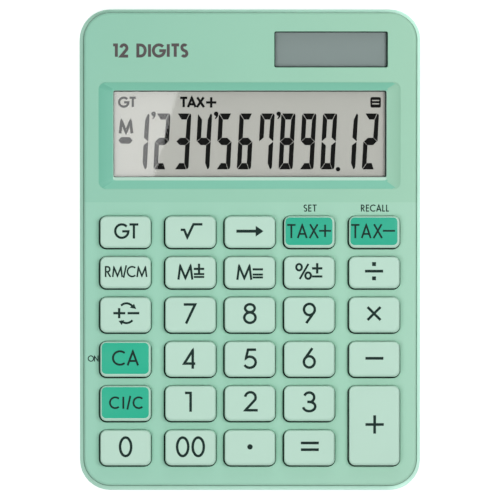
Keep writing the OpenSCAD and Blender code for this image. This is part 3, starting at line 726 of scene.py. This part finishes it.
def build_painted_shadow_band(name, plate, cx, cy, w, h, left, right, front, rear):
    """Dark band round the edge of a clear plate, a painted shadow of its opening's walls; the four widths are
    what shows of it.
    """
    z = local_box(plate, HEAD)[1][2]
    shell = Shell()
    outer = rounded(cx, cy, w + 2 * HIDDEN_W, h + 2 * HIDDEN_W, SURROUND_R + HIDDEN_W)
    inner = outline(cx - w / 2 + left, cx + w / 2 - right, cy - h / 2 + front, cy + h / 2 - rear, SURROUND_R)
    upper = [shell.ring(lifted(HEAD, flat, z + SURROUND_T)) for flat in (outer, inner)]
    lower = [shell.ring(lifted(HEAD, flat, z)) for flat in (outer, inner)]
    shell.stack([lower[0], upper[0], upper[1], lower[1], lower[0]])
    shell.build(name, [PAINTED_SHADOW_BAND], "case")


# The painted shadows are widest at the top and the right, where the walls' shade falls.
build_painted_shadow_band("lens_painted_shadow", "display_lens", WINDOW_X, WINDOW_Y, WINDOW_W,
               WINDOW_H, 0.12, 0.42, 0.14, 0.32)
solar_x, solar_y, solar_w, solar_h = box_middle("solar_window", HEAD)
build_painted_shadow_band("solar_painted_shadow", "solar_window", solar_x, solar_y, solar_w - 2 * SOLAR_LAP,
               solar_h - 2 * SOLAR_LAP, 0.26, 0.52, 0.2, 0.46)


# -------- key caps

FRONT_BEVEL = 0.95
LEFT_BEVEL = 0.36
RIGHT_BEVEL = 0.62
REAR_BEVEL = 0.32
TOP_EDGE = 0.2
CAP_WALL = 1.3
CAP_TOP_T = 1.4
CAP_INNER_R = 0.7
SHOULDER = 1.0
FILLET_STEPS = 7


def build_cap(name):
    """A hollow key cap whose upper edges are rounded by a different width on each side."""
    a, b = key_boxes[name]
    whole_low, whole_high = local_box(name, KEYS)
    top, low = whole_high[2], whole_low[2]
    shell = Shell()

    def ring(left, right, front, rear, z, r):
        flat = outline(a[0] + left, b[0] - right, a[1] + front, b[1] - rear, r)
        return shell.ring(lifted(KEYS, flat, z))

    def even(inset, z, r):
        return ring(inset, inset, inset, inset, z, r)

    rings = [even(CAP_WALL, low, CAP_INNER_R), even(0.12, low, KEY_R - 0.12), even(0, low + 0.15, KEY_R),
             even(0, top - SHOULDER, KEY_R)]
    for step in range(1, FILLET_STEPS + 1):
        t = math.radians(90 * step / FILLET_STEPS)
        part = 1 - math.cos(t)
        rings.append(ring(LEFT_BEVEL * part, RIGHT_BEVEL * part, FRONT_BEVEL * part, REAR_BEVEL * part,
                          top - SHOULDER + SHOULDER * math.sin(t), KEY_R - 0.35 * part))
    rings.append(ring(LEFT_BEVEL + TOP_EDGE, RIGHT_BEVEL + TOP_EDGE, FRONT_BEVEL + TOP_EDGE,
                      REAR_BEVEL + TOP_EDGE, top, KEY_R - 0.5))
    inner = even(CAP_WALL, top - CAP_TOP_T, CAP_INNER_R)
    shell.stack([inner] + rings)
    shell.face(rings[-1])
    shell.face(inner[::-1])
    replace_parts(shell.build(name.replace("key_", "cap_"), [KEY], name), name)


for key_name in KEY_NODES:
    build_cap(key_name)


# -------- lettering

LONGEST_MITRE = 2.2
DISC_STEPS = 20


def arc(cx, cy, rx, ry, start, end, steps=None):
    """Points of an elliptical arc, angles in degrees, anticlockwise if end is larger."""
    steps = steps or max(4, int(abs(end - start) / 12))
    points = []
    for n in range(steps + 1):
        a = math.radians(start + (end - start) * n / steps)
        points.append((cx + rx * math.cos(a), cy + ry * math.sin(a)))
    return points


def stroke(points, width, closed=False):
    """Polygons that cover a line of the given width: a rectangle to each stretch and a kite at each turn."""
    vectors = [Vector(p) for p in points]
    if closed and (vectors[0] - vectors[-1]).length < 1e-6:
        vectors.pop()
    if closed:
        vectors += vectors[:2]
    half = width / 2
    polygons = []
    for a, b in zip(vectors, vectors[1:] if not closed else vectors[1:-1]):
        side = Vector((a.y - b.y, b.x - a.x)).normalized() * half
        polygons.append([a - side, b - side, b + side, a + side])
    for a, b, c in zip(vectors, vectors[1:], vectors[2:]):
        into, out = (b - a).normalized(), (c - b).normalized()
        turn = into.cross(out)
        if abs(turn) < 1e-4:
            continue
        outer = -1 if turn > 0 else 1
        first = Vector((-into.y, into.x)) * outer
        second = Vector((-out.y, out.x)) * outer
        middle = (first + second).normalized()
        tip = b + middle * half * min(1 / max(middle.dot(first), 0.01), LONGEST_MITRE)
        polygons.append([b, b + first * half, tip, b + second * half])
    return polygons


def disc(cx, cy, r):
    return [[Vector(p) for p in circle(cx, cy, r, DISC_STEPS)]]


# Each glyph: advance width, then its strokes, in units of the capital height.
# A stroke is a list of points, and one that begins with "o" is closed.
GLYPHS = {
    "0": (0.68, [["o"] + arc(0.32, 0.5, 0.27, 0.45, 0, 360, 40)]),
    "1": (0.4, [[(-0.01, 0.945), (0.245, 0.945), (0.245, 0)]]),
    "2": (0.66, [arc(0.31, 0.69, 0.235, 0.26, 172, -25) + [(0.09, 0.055), (0.64, 0.055)]]),
    "3": (0.66, [arc(0.3, 0.715, 0.21, 0.235, 160, -90, 16)[:-1] + [(0.27, 0.5), (0.22, 0.5)],
                 [(0.22, 0.5), (0.31, 0.5)] + arc(0.3, 0.275, 0.255, 0.225, 80, -172, 16)]),
    "4": (0.66, [[(0.62, 0.26), (0.1, 0.26), (0.5, 0.93), (0.5, 0)]]),
    "5": (0.66, [[(0.58, 0.945), (0.225, 0.945), (0.135, 0.52)]
                 + arc(0.3, 0.325, 0.265, 0.275, 118, -150, 18)]),
    "6": (0.66, [["o"] + arc(0.31, 0.32, 0.26, 0.27, 0, 360, 32), [(0.075, 0.44), (0.46, 0.98)]]),
    "7": (0.64, [[(0.02, 0.945), (0.57, 0.945), (0.13, 0)]]),
    "8": (0.66, [["o"] + arc(0.31, 0.755, 0.225, 0.19, 0, 360, 30),
                 ["o"] + arc(0.31, 0.3, 0.265, 0.25, 0, 360, 32)]),
    "9": (0.66, [["o"] + arc(0.31, 0.68, 0.26, 0.27, 0, 360, 32), [(0.545, 0.56), (0.16, 0.02)]]),
    "A": (0.72, [[(0.04, 0), (0.36, 0.94), (0.68, 0)], [(0.16, 0.3), (0.56, 0.3)]]),
    "C": (0.8, [arc(0.47, 0.5, 0.43, 0.45, 48, 312, 28)]),
    "D": (0.76, [["o", (0.09, 0.06), (0.3, 0.06)] + arc(0.3, 0.5, 0.37, 0.44, -80, 80, 14)
                 + [(0.3, 0.94), (0.09, 0.94)]]),
    "E": (0.54, [[(0.5, 0.94), (0.1, 0.94), (0.1, 0.06), (0.5, 0.06)], [(0.1, 0.52), (0.46, 0.52)]]),
    "G": (0.98, [arc(0.49, 0.5, 0.44, 0.45, 42, 358, 30) + [(0.52, 0.485)]]),
    "I": (0.24, [[(0.12, 1), (0.12, 0)]]),
    "L": (0.46, [[(0.1, 1), (0.1, 0.06), (0.44, 0.06)]]),
    "M": (1, [[(0.07, 0), (0.18, 0.9), (0.5, 0.1), (0.82, 0.9), (0.93, 0)]]),
    "N": (0.8, [[(0.1, 0), (0.1, 0.9), (0.7, 0.1), (0.7, 1)]]),
    "O": (0.98, [["o"] + arc(0.49, 0.5, 0.44, 0.45, 0, 360, 36)]),
    "R": (0.62, [[(0.1, 0), (0.1, 0.94), (0.28, 0.94)] + arc(0.28, 0.715, 0.2, 0.225, 80, -80, 10)
                 + [(0.28, 0.49), (0.1, 0.49)], [(0.26, 0.49), (0.54, 0)]]),
    "S": (0.56, [arc(0.28, 0.735, 0.185, 0.215, 35, 262, 14)[:-1]
                 + arc(0.28, 0.265, 0.205, 0.215, 82, -145, 14)]),
    "T": (0.6, [[(0, 0.945), (0.6, 0.945)], [(0.3, 0.945), (0.3, 0)]]),
    "X": (0.7, [[(0.05, 0), (0.62, 1)], [(0.08, 1), (0.65, 0)]]),
    "/": (0.26, [[(0, -0.07), (0.25, 1.08)]]),
    " ": (0.4, []),
}


def text(words, cx, cy, height, width, space=0.06, stretch=1.0):
    """Strokes of a word centred on a point, as polygons in millimetres."""
    total = sum(GLYPHS[c][0] for c in words) + space * (len(words) - 1)
    x = -total / 2
    quads = []
    for letter in words:
        for line in GLYPHS[letter][1]:
            closed = line[0] == "o"
            points = line[1:] if closed else line
            moved = [(cx + (x + px) * stretch * height, cy + (py - 0.5) * height) for px, py in points]
            quads += stroke(moved, width, closed)
        x += GLYPHS[letter][0] + space
    return quads


def bar(x0, y0, x1, y1, width):
    return stroke([(x0, y0), (x1, y1)], width)


def cross(cx, cy, h, width):
    """A plus sign that reaches h from its centre."""
    return bar(cx - h, cy, cx + h, cy, width) + bar(cx, cy - h, cx, cy + h, width)


def plus_minus(cx, cy, size, width, lines, plus=True):
    """A plus or minus over one or two lines."""
    h = size / 2
    upper_y = cy + 0.95
    quads = cross(cx, upper_y, h, width) if plus else bar(cx - h, upper_y, cx + h, upper_y, width)
    for n in range(lines):
        y = cy - 1.55 - 0.9 * (n - (lines - 1))
        quads += bar(cx - h, y, cx + h, y, width * 0.92)
    return quads


def square_root():
    return stroke([(-3.05, 0.42), (-1.95, 0.42), (-1.0, -1.9), (0.88, 2.12), (3.65, 2.12)], 0.75)


def arrow():
    head = [[Vector((1.75, 1.66)), Vector((1.75, -1.66)), Vector((4.15, 0))]]
    return bar(-4.2, 0, 1.9, 0, 0.92) + head


def sign_change():
    """Plus and minus with two curved arrows round them."""
    quads = bar(-3.8, 0.25, -0.1, 0.25, 0.72) + bar(-2.0, -1.3, -2.0, 1.8, 0.72)
    quads += bar(0.6, 0.25, 4.2, 0.25, 0.72)
    quads += stroke(arc(0.25, -0.85, 3.0, 4.15, 124, 50, 12), 0.66)
    quads += stroke(arc(0.25, 1.35, 3.0, 4.15, -52, -124, 12), 0.66)
    quads += [[Vector((3.25, 1.55)), Vector((2.6, 3.15)), Vector((1.3, 1.95))]]
    quads += [[Vector((-2.2, -2.15)), Vector((-1.2, -3.4)), Vector((-0.4, -1.9))]]
    return quads


def percent():
    quads = stroke(arc(-3.2, 1.36, 0.86, 0.98, 0, 360, 26), 0.66, True)
    quads += stroke(arc(-0.4, -1.24, 0.86, 0.98, 0, 360, 26), 0.66, True)
    quads += bar(-3.0, -2.3, -0.3, 2.4, 0.62)
    return quads + plus_minus(2.4, 0.06, 3.2, 0.72, 1)


def square(cx, cy, size):
    h = size / 2
    return [[Vector((cx + x * h, cy + y * h)) for x, y in ((-1, -1), (1, -1), (1, 1), (-1, 1))]]


THIN = 0.56
BOLD = 0.79
LEGENDS = {
    "key_grand_total": text("GT", 0.25, 0.03, 4.6, 0.72, 0.02),
    "key_square_root": square_root(),
    "key_digit_shift": arrow(),
    "key_tax_plus": text("TAX", -2.0, 0.02, 4.3, THIN, 0.12) + bar(2.95, 0.12, 6.7, 0.12, THIN)
    + bar(4.83, -1.78, 4.83, 2.02, THIN),
    "key_tax_minus": text("TAX", -2.3, 0.02, 4.3, THIN, 0.12) + bar(2.6, 0.12, 6.35, 0.12, THIN),
    "key_memory_recall": text("RM/CM", 0.1, 0.01, 3.35, 0.5, 0.055, 1.01),
    "key_memory_plus": text("M", -1.6, -0.1, 4.75, 0.67, stretch=1.05) + plus_minus(2.6, -0.1, 3.2, 0.67, 2),
    "key_memory_minus": text("M", -1.75, -0.15, 4.75, 0.67, stretch=1.05)
    + plus_minus(2.4, -0.25, 3.2, 0.67, 2, False),
    "key_percent": percent(),
    "key_divide": bar(-2.9, 0.14, 2.7, 0.14, 0.84) + square(-0.1, 2.34, 1.2) + square(-0.1, -2.06, 1.2),
    "key_sign_change": sign_change(),
    "key_7": text("7", -0.2, 0.15, 6.25, BOLD, stretch=1.02),
    "key_8": text("8", 0.1, 0.15, 6.4, BOLD, stretch=1.02),
    "key_9": text("9", 0.12, 0.25, 6.4, BOLD),
    "key_multiply": bar(-2.1, -1.85, 1.9, 2.15, BOLD) + bar(-2.1, 2.15, 1.9, -1.85, BOLD),
    "key_clear_all": text("CA", -0.05, 0.1, 4.6, 0.63, 0.1, 1.09),
    "key_4": text("4", -0.45, -0.15, 6.15, BOLD, stretch=1.06),
    "key_5": text("5", 0.12, -0.12, 6.25, BOLD, stretch=1.12),
    "key_6": text("6", 0.08, 0.05, 6.4, BOLD),
    "key_minus": bar(-2.75, 0, 2.8, 0, 0.85),
    "key_clear_entry": text("CI/C", 0.15, -0.04, 3.7, 0.57, 0.2, 1.03),
    "key_1": text("1", -0.3, 0.25, 6.15, BOLD, stretch=1.1),
    "key_2": text("2", 0.25, 0.4, 6.2, BOLD, stretch=1.11),
    "key_3": text("3", 0.16, 0.23, 6.4, BOLD, stretch=1.15),
    "key_plus": bar(-2.72, 0.08, 2.92, 0.08, 0.84) + bar(0.1, -2.75, 0.1, 2.91, 0.84),
    "key_0": text("0", 0.1, 0.02, 6.35, BOLD),
    "key_00": text("00", 0.08, 0.02, 6.35, BOLD, 0.075),
    "key_point": disc(0, 0, 0.83),
    "key_equals": bar(-2.62, 1.2, 2.9, 1.2, 0.84) + bar(-2.62, -0.87, 2.9, -0.87, 0.84),
}


PRINT_JOIN = 1e-5
NO_AREA = 1e-7


def flat_piece(name, place, polygons, cx, cy, z0, z1, finish, body):
    """Polygons joined into one thin closed slab between two heights of a frame."""
    coordinates = []
    spans = []
    for polygon in polygons:
        area = sum(p[0] * q[1] - q[0] * p[1] for p, q in zip(polygon, polygon[1:] + polygon[:1]))
        if abs(area) < NO_AREA:
            continue
        spans.append(list(range(len(coordinates), len(coordinates) + len(polygon))))
        coordinates += [Vector((p[0] + cx, p[1] + cy)) for p in (polygon if area > 0 else polygon[::-1])]
    result = delaunay_2d_cdt(coordinates, [], spans, 0, PRINT_JOIN, True)
    points, triangles, owners = result[0], result[2], result[5]
    kept = [list(t) for t, owner in zip(triangles, owners) if len(owner)]
    shell = Shell()
    upper = shell.ring(lifted(place, points, z1))
    lower = shell.ring(lifted(place, points, z0))
    for triangle in kept:
        shell.face([upper[v] for v in triangle])
        shell.face([lower[v] for v in triangle[::-1]])
    edges = dict.fromkeys((t[n], t[(n + 1) % 3]) for t in kept for n in range(3))
    for a, b in edges:
        if (b, a) not in edges:
            shell.face([upper[a], lower[a], lower[b], upper[b]])
    used = sorted({v for f in shell.faces for v in f})
    number = {old: new for new, old in enumerate(used)}
    shell.points = [shell.points[v] for v in used]
    shell.faces = [[number[v] for v in f] for f in shell.faces]
    shell.build(name, [finish], body, weld=False)


INK_SUNK = 0.02
INK_T = 0.025
PRINT_T = 0.05
PRINT_R = 1.35
PRINT_EDGE = 0.06
LEGEND_RAISE = 0.33
GREEN_KEYS = ("key_tax_plus", "key_tax_minus", "key_clear_all", "key_clear_entry")


def key_centre(name):
    a, b = key_boxes[name]
    return (a[0] + b[0]) / 2, (a[1] + b[1]) / 2, b[2]


def build_green_face(name, top):
    """The printed green panel on top of a cap, inside its bevels."""
    a, b = key_boxes[name]
    x0, x1 = a[0] + 0.4, b[0] - 0.68
    y0, y1 = a[1] + 0.96, b[1] - 0.34
    flat = outline(x0, x1, y0, y1, PRINT_R)
    inner = outline(x0 + PRINT_EDGE, x1 - PRINT_EDGE, y0 + PRINT_EDGE, y1 - PRINT_EDGE, PRINT_R - 0.05)
    shell = Shell()
    slab(shell, KEYS, [(flat, top - 0.1), (flat, top + PRINT_T * 0.6), (inner, top + PRINT_T)])
    shell.build(name.replace("key_", "face_"), [GREEN], name)


def build_legend(name, polygons):
    cx, cy, base = key_centre(name)
    if name in GREEN_KEYS:
        build_green_face(name, base)
        base += PRINT_T
    flat_piece(name.replace("key_", "legend_"), KEYS, polygons, cx, cy + LEGEND_RAISE,
               base - INK_SUNK, base + INK_T, INK, name)


for key_name, polygons in LEGENDS.items():
    build_legend(key_name, polygons)


def print_on_face(name, place, polygons, cx, cy, finish):
    flat_piece(name, place, polygons, cx, cy, -INK_SUNK, INK_T, finish, "case")


above_first_row = key_boxes["key_tax_plus"][1][1] + 2.42
print_on_face("print_set", KEYS, text("SET", 0, 0, 2.1, 0.34, 0.12),
              key_centre("key_tax_plus")[0] + 0.2, above_first_row, INK)
print_on_face("print_recall", KEYS, text("RECALL", 0, 0, 2.1, 0.34, 0.11),
              key_centre("key_tax_minus")[0] + 0.17, above_first_row, INK)
print_on_face("print_on", KEYS, text("ON", 0, 0, 1.85, 0.3, 0.0),
              key_boxes["key_clear_all"][0][0] - 2.2, key_centre("key_clear_all")[1] + 0.1, INK)
print_on_face("print_digits", HEAD, text("12 DIGITS", 0, 0, 3.9, 0.92, 0.13),
              WINDOW_X - 30.6, lens_y + 25.95, MARK)


# -------- display

glass_top = local_box("lcd_front_glass", HEAD)[1][2]

# Corners of the seven segments of a digit, in millimetres, before it is leant.
SEGMENTS = {
    "a": [(0.3, 17.1), (1.53, 15.34), (3.13, 15.34), (3.93, 17.2), (0.42, 17.2)],
    "b": [(3.27, 15.29), (4.07, 17.15), (4.36, 17.08), (4.57, 16.6), (4.57, 8.72), (4.44, 8.68),
          (3.13, 9.81)],
    "c": [(4.44, 8.46), (4.57, 8.42), (4.57, 0.95), (4.4, 0.3), (4.1, 0.06), (3.92, 0.1), (3.13, 1.93),
          (3.13, 7.37)],
    "d": [(0.28, 0.06), (0.5, 0), (3.82, 0), (3.02, 1.93), (1.54, 1.93)],
    "e": [(0.12, 8.46), (0, 8.4), (0, 0.6), (0.16, 0.2), (1.42, 1.97), (1.42, 7.37)],
    "f": [(0.16, 16.95), (0, 16.6), (0, 8.75), (0.12, 8.7), (1.42, 9.81), (1.42, 15.27)],
    "g": [(0.22, 8.58), (1.4, 7.47), (3.16, 7.47), (4.34, 8.58), (3.16, 9.71), (1.4, 9.71)],
}
DIGITS = {"0": "abcdef", "1": "bc", "2": "abged", "3": "abgcd", "4": "fgbc", "5": "afgcd", "6": "afgecd",
          "7": "fabc", "8": "abcdefg", "9": "abcdfg"}
READING = "123456789012"
COMMA_AFTER = (0, 3, 6)
POINT_AFTER = 9
LEAN = math.tan(math.radians(3.0))
PITCH = 6.423
DIGIT_STRETCH = 0.96
FIRST_X = -36.2
FOOT_Y = -11.35
MARK_BOTTOM = glass_top - 0.02
MARK_TOP = glass_top + 0.03


def lean(points, x, y):
    return [Vector((x + px * DIGIT_STRETCH + py * LEAN, y + py)) for px, py in points]


def comma(x, y):
    """A raised comma with its dot centred on a point."""
    tail = [(0.05, -0.6), (-0.45, -1.55), (-0.1, -1.6), (0.5, -0.9), (0.7, 0)]
    return disc(x, y, 0.7) + [[Vector((x + px, y + py)) for px, py in tail]]


def display_polygons():
    """Everything that the display shows dark, in millimetres from the middle of its lens."""
    polygons = []
    for place, digit in enumerate(READING):
        x = FIRST_X + PITCH * place
        for segment in DIGITS[digit]:
            polygons.append(lean(SEGMENTS[segment], x, FOOT_Y))
        if place in COMMA_AFTER:
            polygons += comma(x + 6.5, FOOT_Y + 17.1)
        if place == POINT_AFTER:
            polygons += disc(x + 5.52, FOOT_Y + 0.05, 0.68)
    polygons += text("GT", -37.8, 9.33, 3.05, 0.7, 0.06, 1.07)
    polygons += text("M", -38.2, 1.8, 4.15, 0.88, stretch=1.03)
    polygons += text("TAX", -17.75, 9.3, 3.05, 0.74, 0.02, 1.2)
    polygons += cross(-11.95, 9.25, 1.6, 0.72)
    dash = [(-2.2, 0), (-1.3, -1.0), (1.3, -1.0), (2.2, 0), (1.3, 1.0), (-1.3, 1.0)]
    polygons.append([Vector((x - 38.35, y - 2.43)) for x, y in dash])
    return polygons


def along_glass(polygons):
    """The marks are drawn as seen from above, so their heights are stretched along the tilted glass."""
    return [[Vector((p[0], p[1] / HEAD_UP.z)) for p in polygon] for polygon in polygons]


flat_piece("lcd_segments", HEAD, along_glass(display_polygons()), WINDOW_X, lens_y,
           MARK_BOTTOM, MARK_TOP, SEGMENT, "case")


def boxed_equals():
    """A dark rounded square with two light lines left open in it."""
    shell = Shell()
    x0, x1, y0, y1 = 37.1, 40.3, 7.65, 10.9
    loops = [outline(x0, x1, y0, y1, 0.5, 4)]
    for foot in (y0 + 1.0, y0 + 2.02):
        loops.append(outline(x0 + 0.5, x1 - 0.5, foot, foot + 0.35, 0.1, 2))
    loops = [[(x + WINDOW_X, y / HEAD_UP.z + lens_y) for x, y in loop] for loop in loops]
    upper = [shell.ring(lifted(HEAD, loop, MARK_TOP)) for loop in loops]
    lower = [shell.ring(lifted(HEAD, loop, MARK_BOTTOM)) for loop in loops]
    for a, b in zip(lower, upper):
        shell.bridge(a, b)
    shell.fill(HEAD, upper[0], upper[1:])
    shell.fill(HEAD, lower[0], lower[1:], down=True)
    shell.build("lcd_equals_box", [SEGMENT], "case")


boxed_equals()


# -------- rubber keypad

SHEET_T = 0.8
SHEET_EDGE = 0.1


def build_dome(name, key, x, y, foot, top):
    """A rubber dome from the sheet up to the cap of its key."""
    profile = [(4.2, foot - 0.05), (4.2, foot), (3.95, foot + 0.12), (3.3, foot + 0.9),
               (2.8, top - 0.35), (2.6, top - 0.1), (2.4, top)]
    dome = Shell()
    slab(dome, KEYS, [(circle(x, y, r), z) for r, z in profile])
    piece = dome.build(name, [SILICONE], "case")
    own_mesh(piece)


def build_keypad():
    """One sheet over the board, with a dome under each key and two under the tall one."""
    low, high = local_box("rubber_keypad", KEYS)
    sheet_top = low[2] + SHEET_T
    flat = outline(low[0], high[0], low[1], high[1], 2)
    inner = outline(low[0] + SHEET_EDGE, high[0] - SHEET_EDGE, low[1] + SHEET_EDGE, high[1] - SHEET_EDGE, 1.9)
    shell = Shell()
    slab(shell, KEYS, [(flat, low[2]), (flat, sheet_top - SHEET_EDGE), (inner, sheet_top)])
    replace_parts(shell.build("keypad_sheet", [SILICONE], "case"), "rubber_keypad")
    for key in KEY_NODES:
        x, y, _ = key_centre(key)
        spots = [y]
        if key == "key_plus":
            spots = [key_centre("key_3")[1], key_centre("key_equals")[1]]
        for number, spot in enumerate(spots, 1):
            build_dome(key.replace("key_", "dome_") + "_" + str(number), key, x, spot, sheet_top, high[2])


build_keypad()


# -------- stage, light and camera

FLOOR_REACH = 6.0
FLOOR_LIFT = 0.5
CARD_HEIGHT = 0.6
CARD_CORNERS = ((-0.075, -0.165), (-0.0383, -0.165), (-0.0193, -0.095), (-0.075, -0.095))
CARD_STRENGTH = 5.6
LIGHT_SIZE = 0.2
LIGHTS_AIM = Vector((0, 0, 0.02))


def level_quad(name, corners, height, material):
    """A four-sided stage piece that lies level; lengths in metres."""
    mesh = bpy.data.meshes.new(name)
    mesh.from_pydata([(x, y, height) for x, y in corners], [], [(0, 1, 2, 3)])
    mesh.materials.append(material)
    piece = add_object(name, mesh)
    piece.visible_diffuse = False
    return piece


def studio_floor(material, lift):
    """Lifts the floor towards white where the camera sees it, and leaves it out when seen from below."""
    tree = material.node_tree
    link = tree.links.new
    seen = add_node(tree, "LightPath")
    strength = add_node(tree, "Math", "MULTIPLY")
    socket(strength, 1, lift)
    shader = tree.nodes["Principled BSDF"]
    socket(shader, "Emission Color", (1, 1, 1, 1))
    link(seen.outputs["Is Camera Ray"], strength.inputs[0])
    link(strength.outputs["Value"], shader.inputs["Emission Strength"])
    side = add_node(tree, "NewGeometry")
    through = add_node(tree, "BsdfTransparent")
    mix = add_node(tree, "MixShader")
    link(side.outputs["Backfacing"], mix.inputs["Fac"])
    link(shader.outputs["BSDF"], mix.inputs[1])
    link(through.outputs["BSDF"], mix.inputs[2])
    show(tree, mix.outputs["Shader"])


floor_paint = make("floor_paint", (0.93, 0.93, 0.93, 1), rough=0.8, mottle=0.004, mottle_size=200)
studio_floor(floor_paint, FLOOR_LIFT)
floor_corners = [(x * FLOOR_REACH, y * FLOOR_REACH) for x, y in ((-1, -1), (1, -1), (1, 1), (-1, 1))]
floor = level_quad("floor", floor_corners, 0, floor_paint)
floor.visible_glossy = False


def area_light(name, place, power):
    data = bpy.data.lights.new(name, "AREA")
    data.shape = "DISK"
    data.size = LIGHT_SIZE
    data.energy = power
    lamp = add_object(name, data)
    lamp.location = place
    lamp.rotation_mode = "QUATERNION"
    lamp.rotation_quaternion = (Vector(place) - LIGHTS_AIM).to_track_quat("Z", "Y")


area_light("right_light", (0.22, 0.03, 0.42), 0.86)
area_light("left_light", (-0.20, -0.12, 0.42), 0.57)
area_light("rear_light", (0.06, 0.42, 0.26), 0.28)
area_light("front_light", (0, -0.44, 0.24), 0.10)


def reflected_card():
    """A bright card seen only in shiny surfaces: its edge shows slantwise in the display's lens."""
    glow, tree = new_material("card_glow")
    tree.nodes.remove(tree.nodes["Principled BSDF"])
    emit = add_node(tree, "Emission")
    socket(emit, "Strength", CARD_STRENGTH)
    show(tree, emit.outputs["Emission"])
    card = level_quad("card", CARD_CORNERS, CARD_HEIGHT, glow)
    card.visible_camera = False
    card.visible_shadow = False
    card.visible_transmission = False


reflected_card()

AMBIENT = 0.42
BOUNCE = 0.85
SHEEN = 0.1
HORIZON = 0.05
world = bpy.data.worlds.new("studio")
world.use_nodes = True
sky = world.node_tree
link_sky = sky.links.new
direction = add_node(sky, "TexCoord")
upward = add_node(sky, "SeparateXYZ")
link_sky(direction.outputs["Generated"], upward.inputs["Vector"])


def two_halves(above):
    """Strength of the surroundings: one value below the horizon, another above it."""
    return map_range(sky, upward.outputs["Z"], (-HORIZON, HORIZON), (BOUNCE, above))


path = add_node(sky, "LightPath")
shiny = add_node(sky, "Mix")
link_sky(path.outputs["Is Glossy Ray"], shiny.inputs["Factor"])
link_sky(two_halves(AMBIENT), shiny.inputs["A"])
link_sky(two_halves(SHEEN), shiny.inputs["B"])
seen = add_node(sky, "Mix")
socket(seen, "B", 1.0)
link_sky(path.outputs["Is Camera Ray"], seen.inputs["Factor"])
link_sky(shiny.outputs["Result"], seen.inputs["A"])
link_sky(seen.outputs["Result"], sky.nodes["Background"].inputs["Strength"])
sky.nodes["Background"].inputs["Color"].default_value = (1, 1, 1, 1)
bpy.context.scene.world = world
bpy.context.scene.view_settings.view_transform = "Standard"
bpy.context.scene.view_settings.look = "None"

# The camera is high above, with a long lens: the frame is FRAME_WIDTH wide at the height FRAMED_AT.
CAMERA_HEIGHT = 5.0
FRAMED_AT = 0.012
FRAME_WIDTH = 0.1542
camera_data = bpy.data.cameras.new("camera")
camera_data.sensor_width = 36
camera_data.lens = camera_data.sensor_width * (CAMERA_HEIGHT - FRAMED_AT) / FRAME_WIDTH
camera_data.clip_start = 0.1
camera_data.clip_end = 20
camera = add_object("camera", camera_data)
camera.location = (0, 0, CAMERA_HEIGHT)
bpy.context.scene.camera = camera
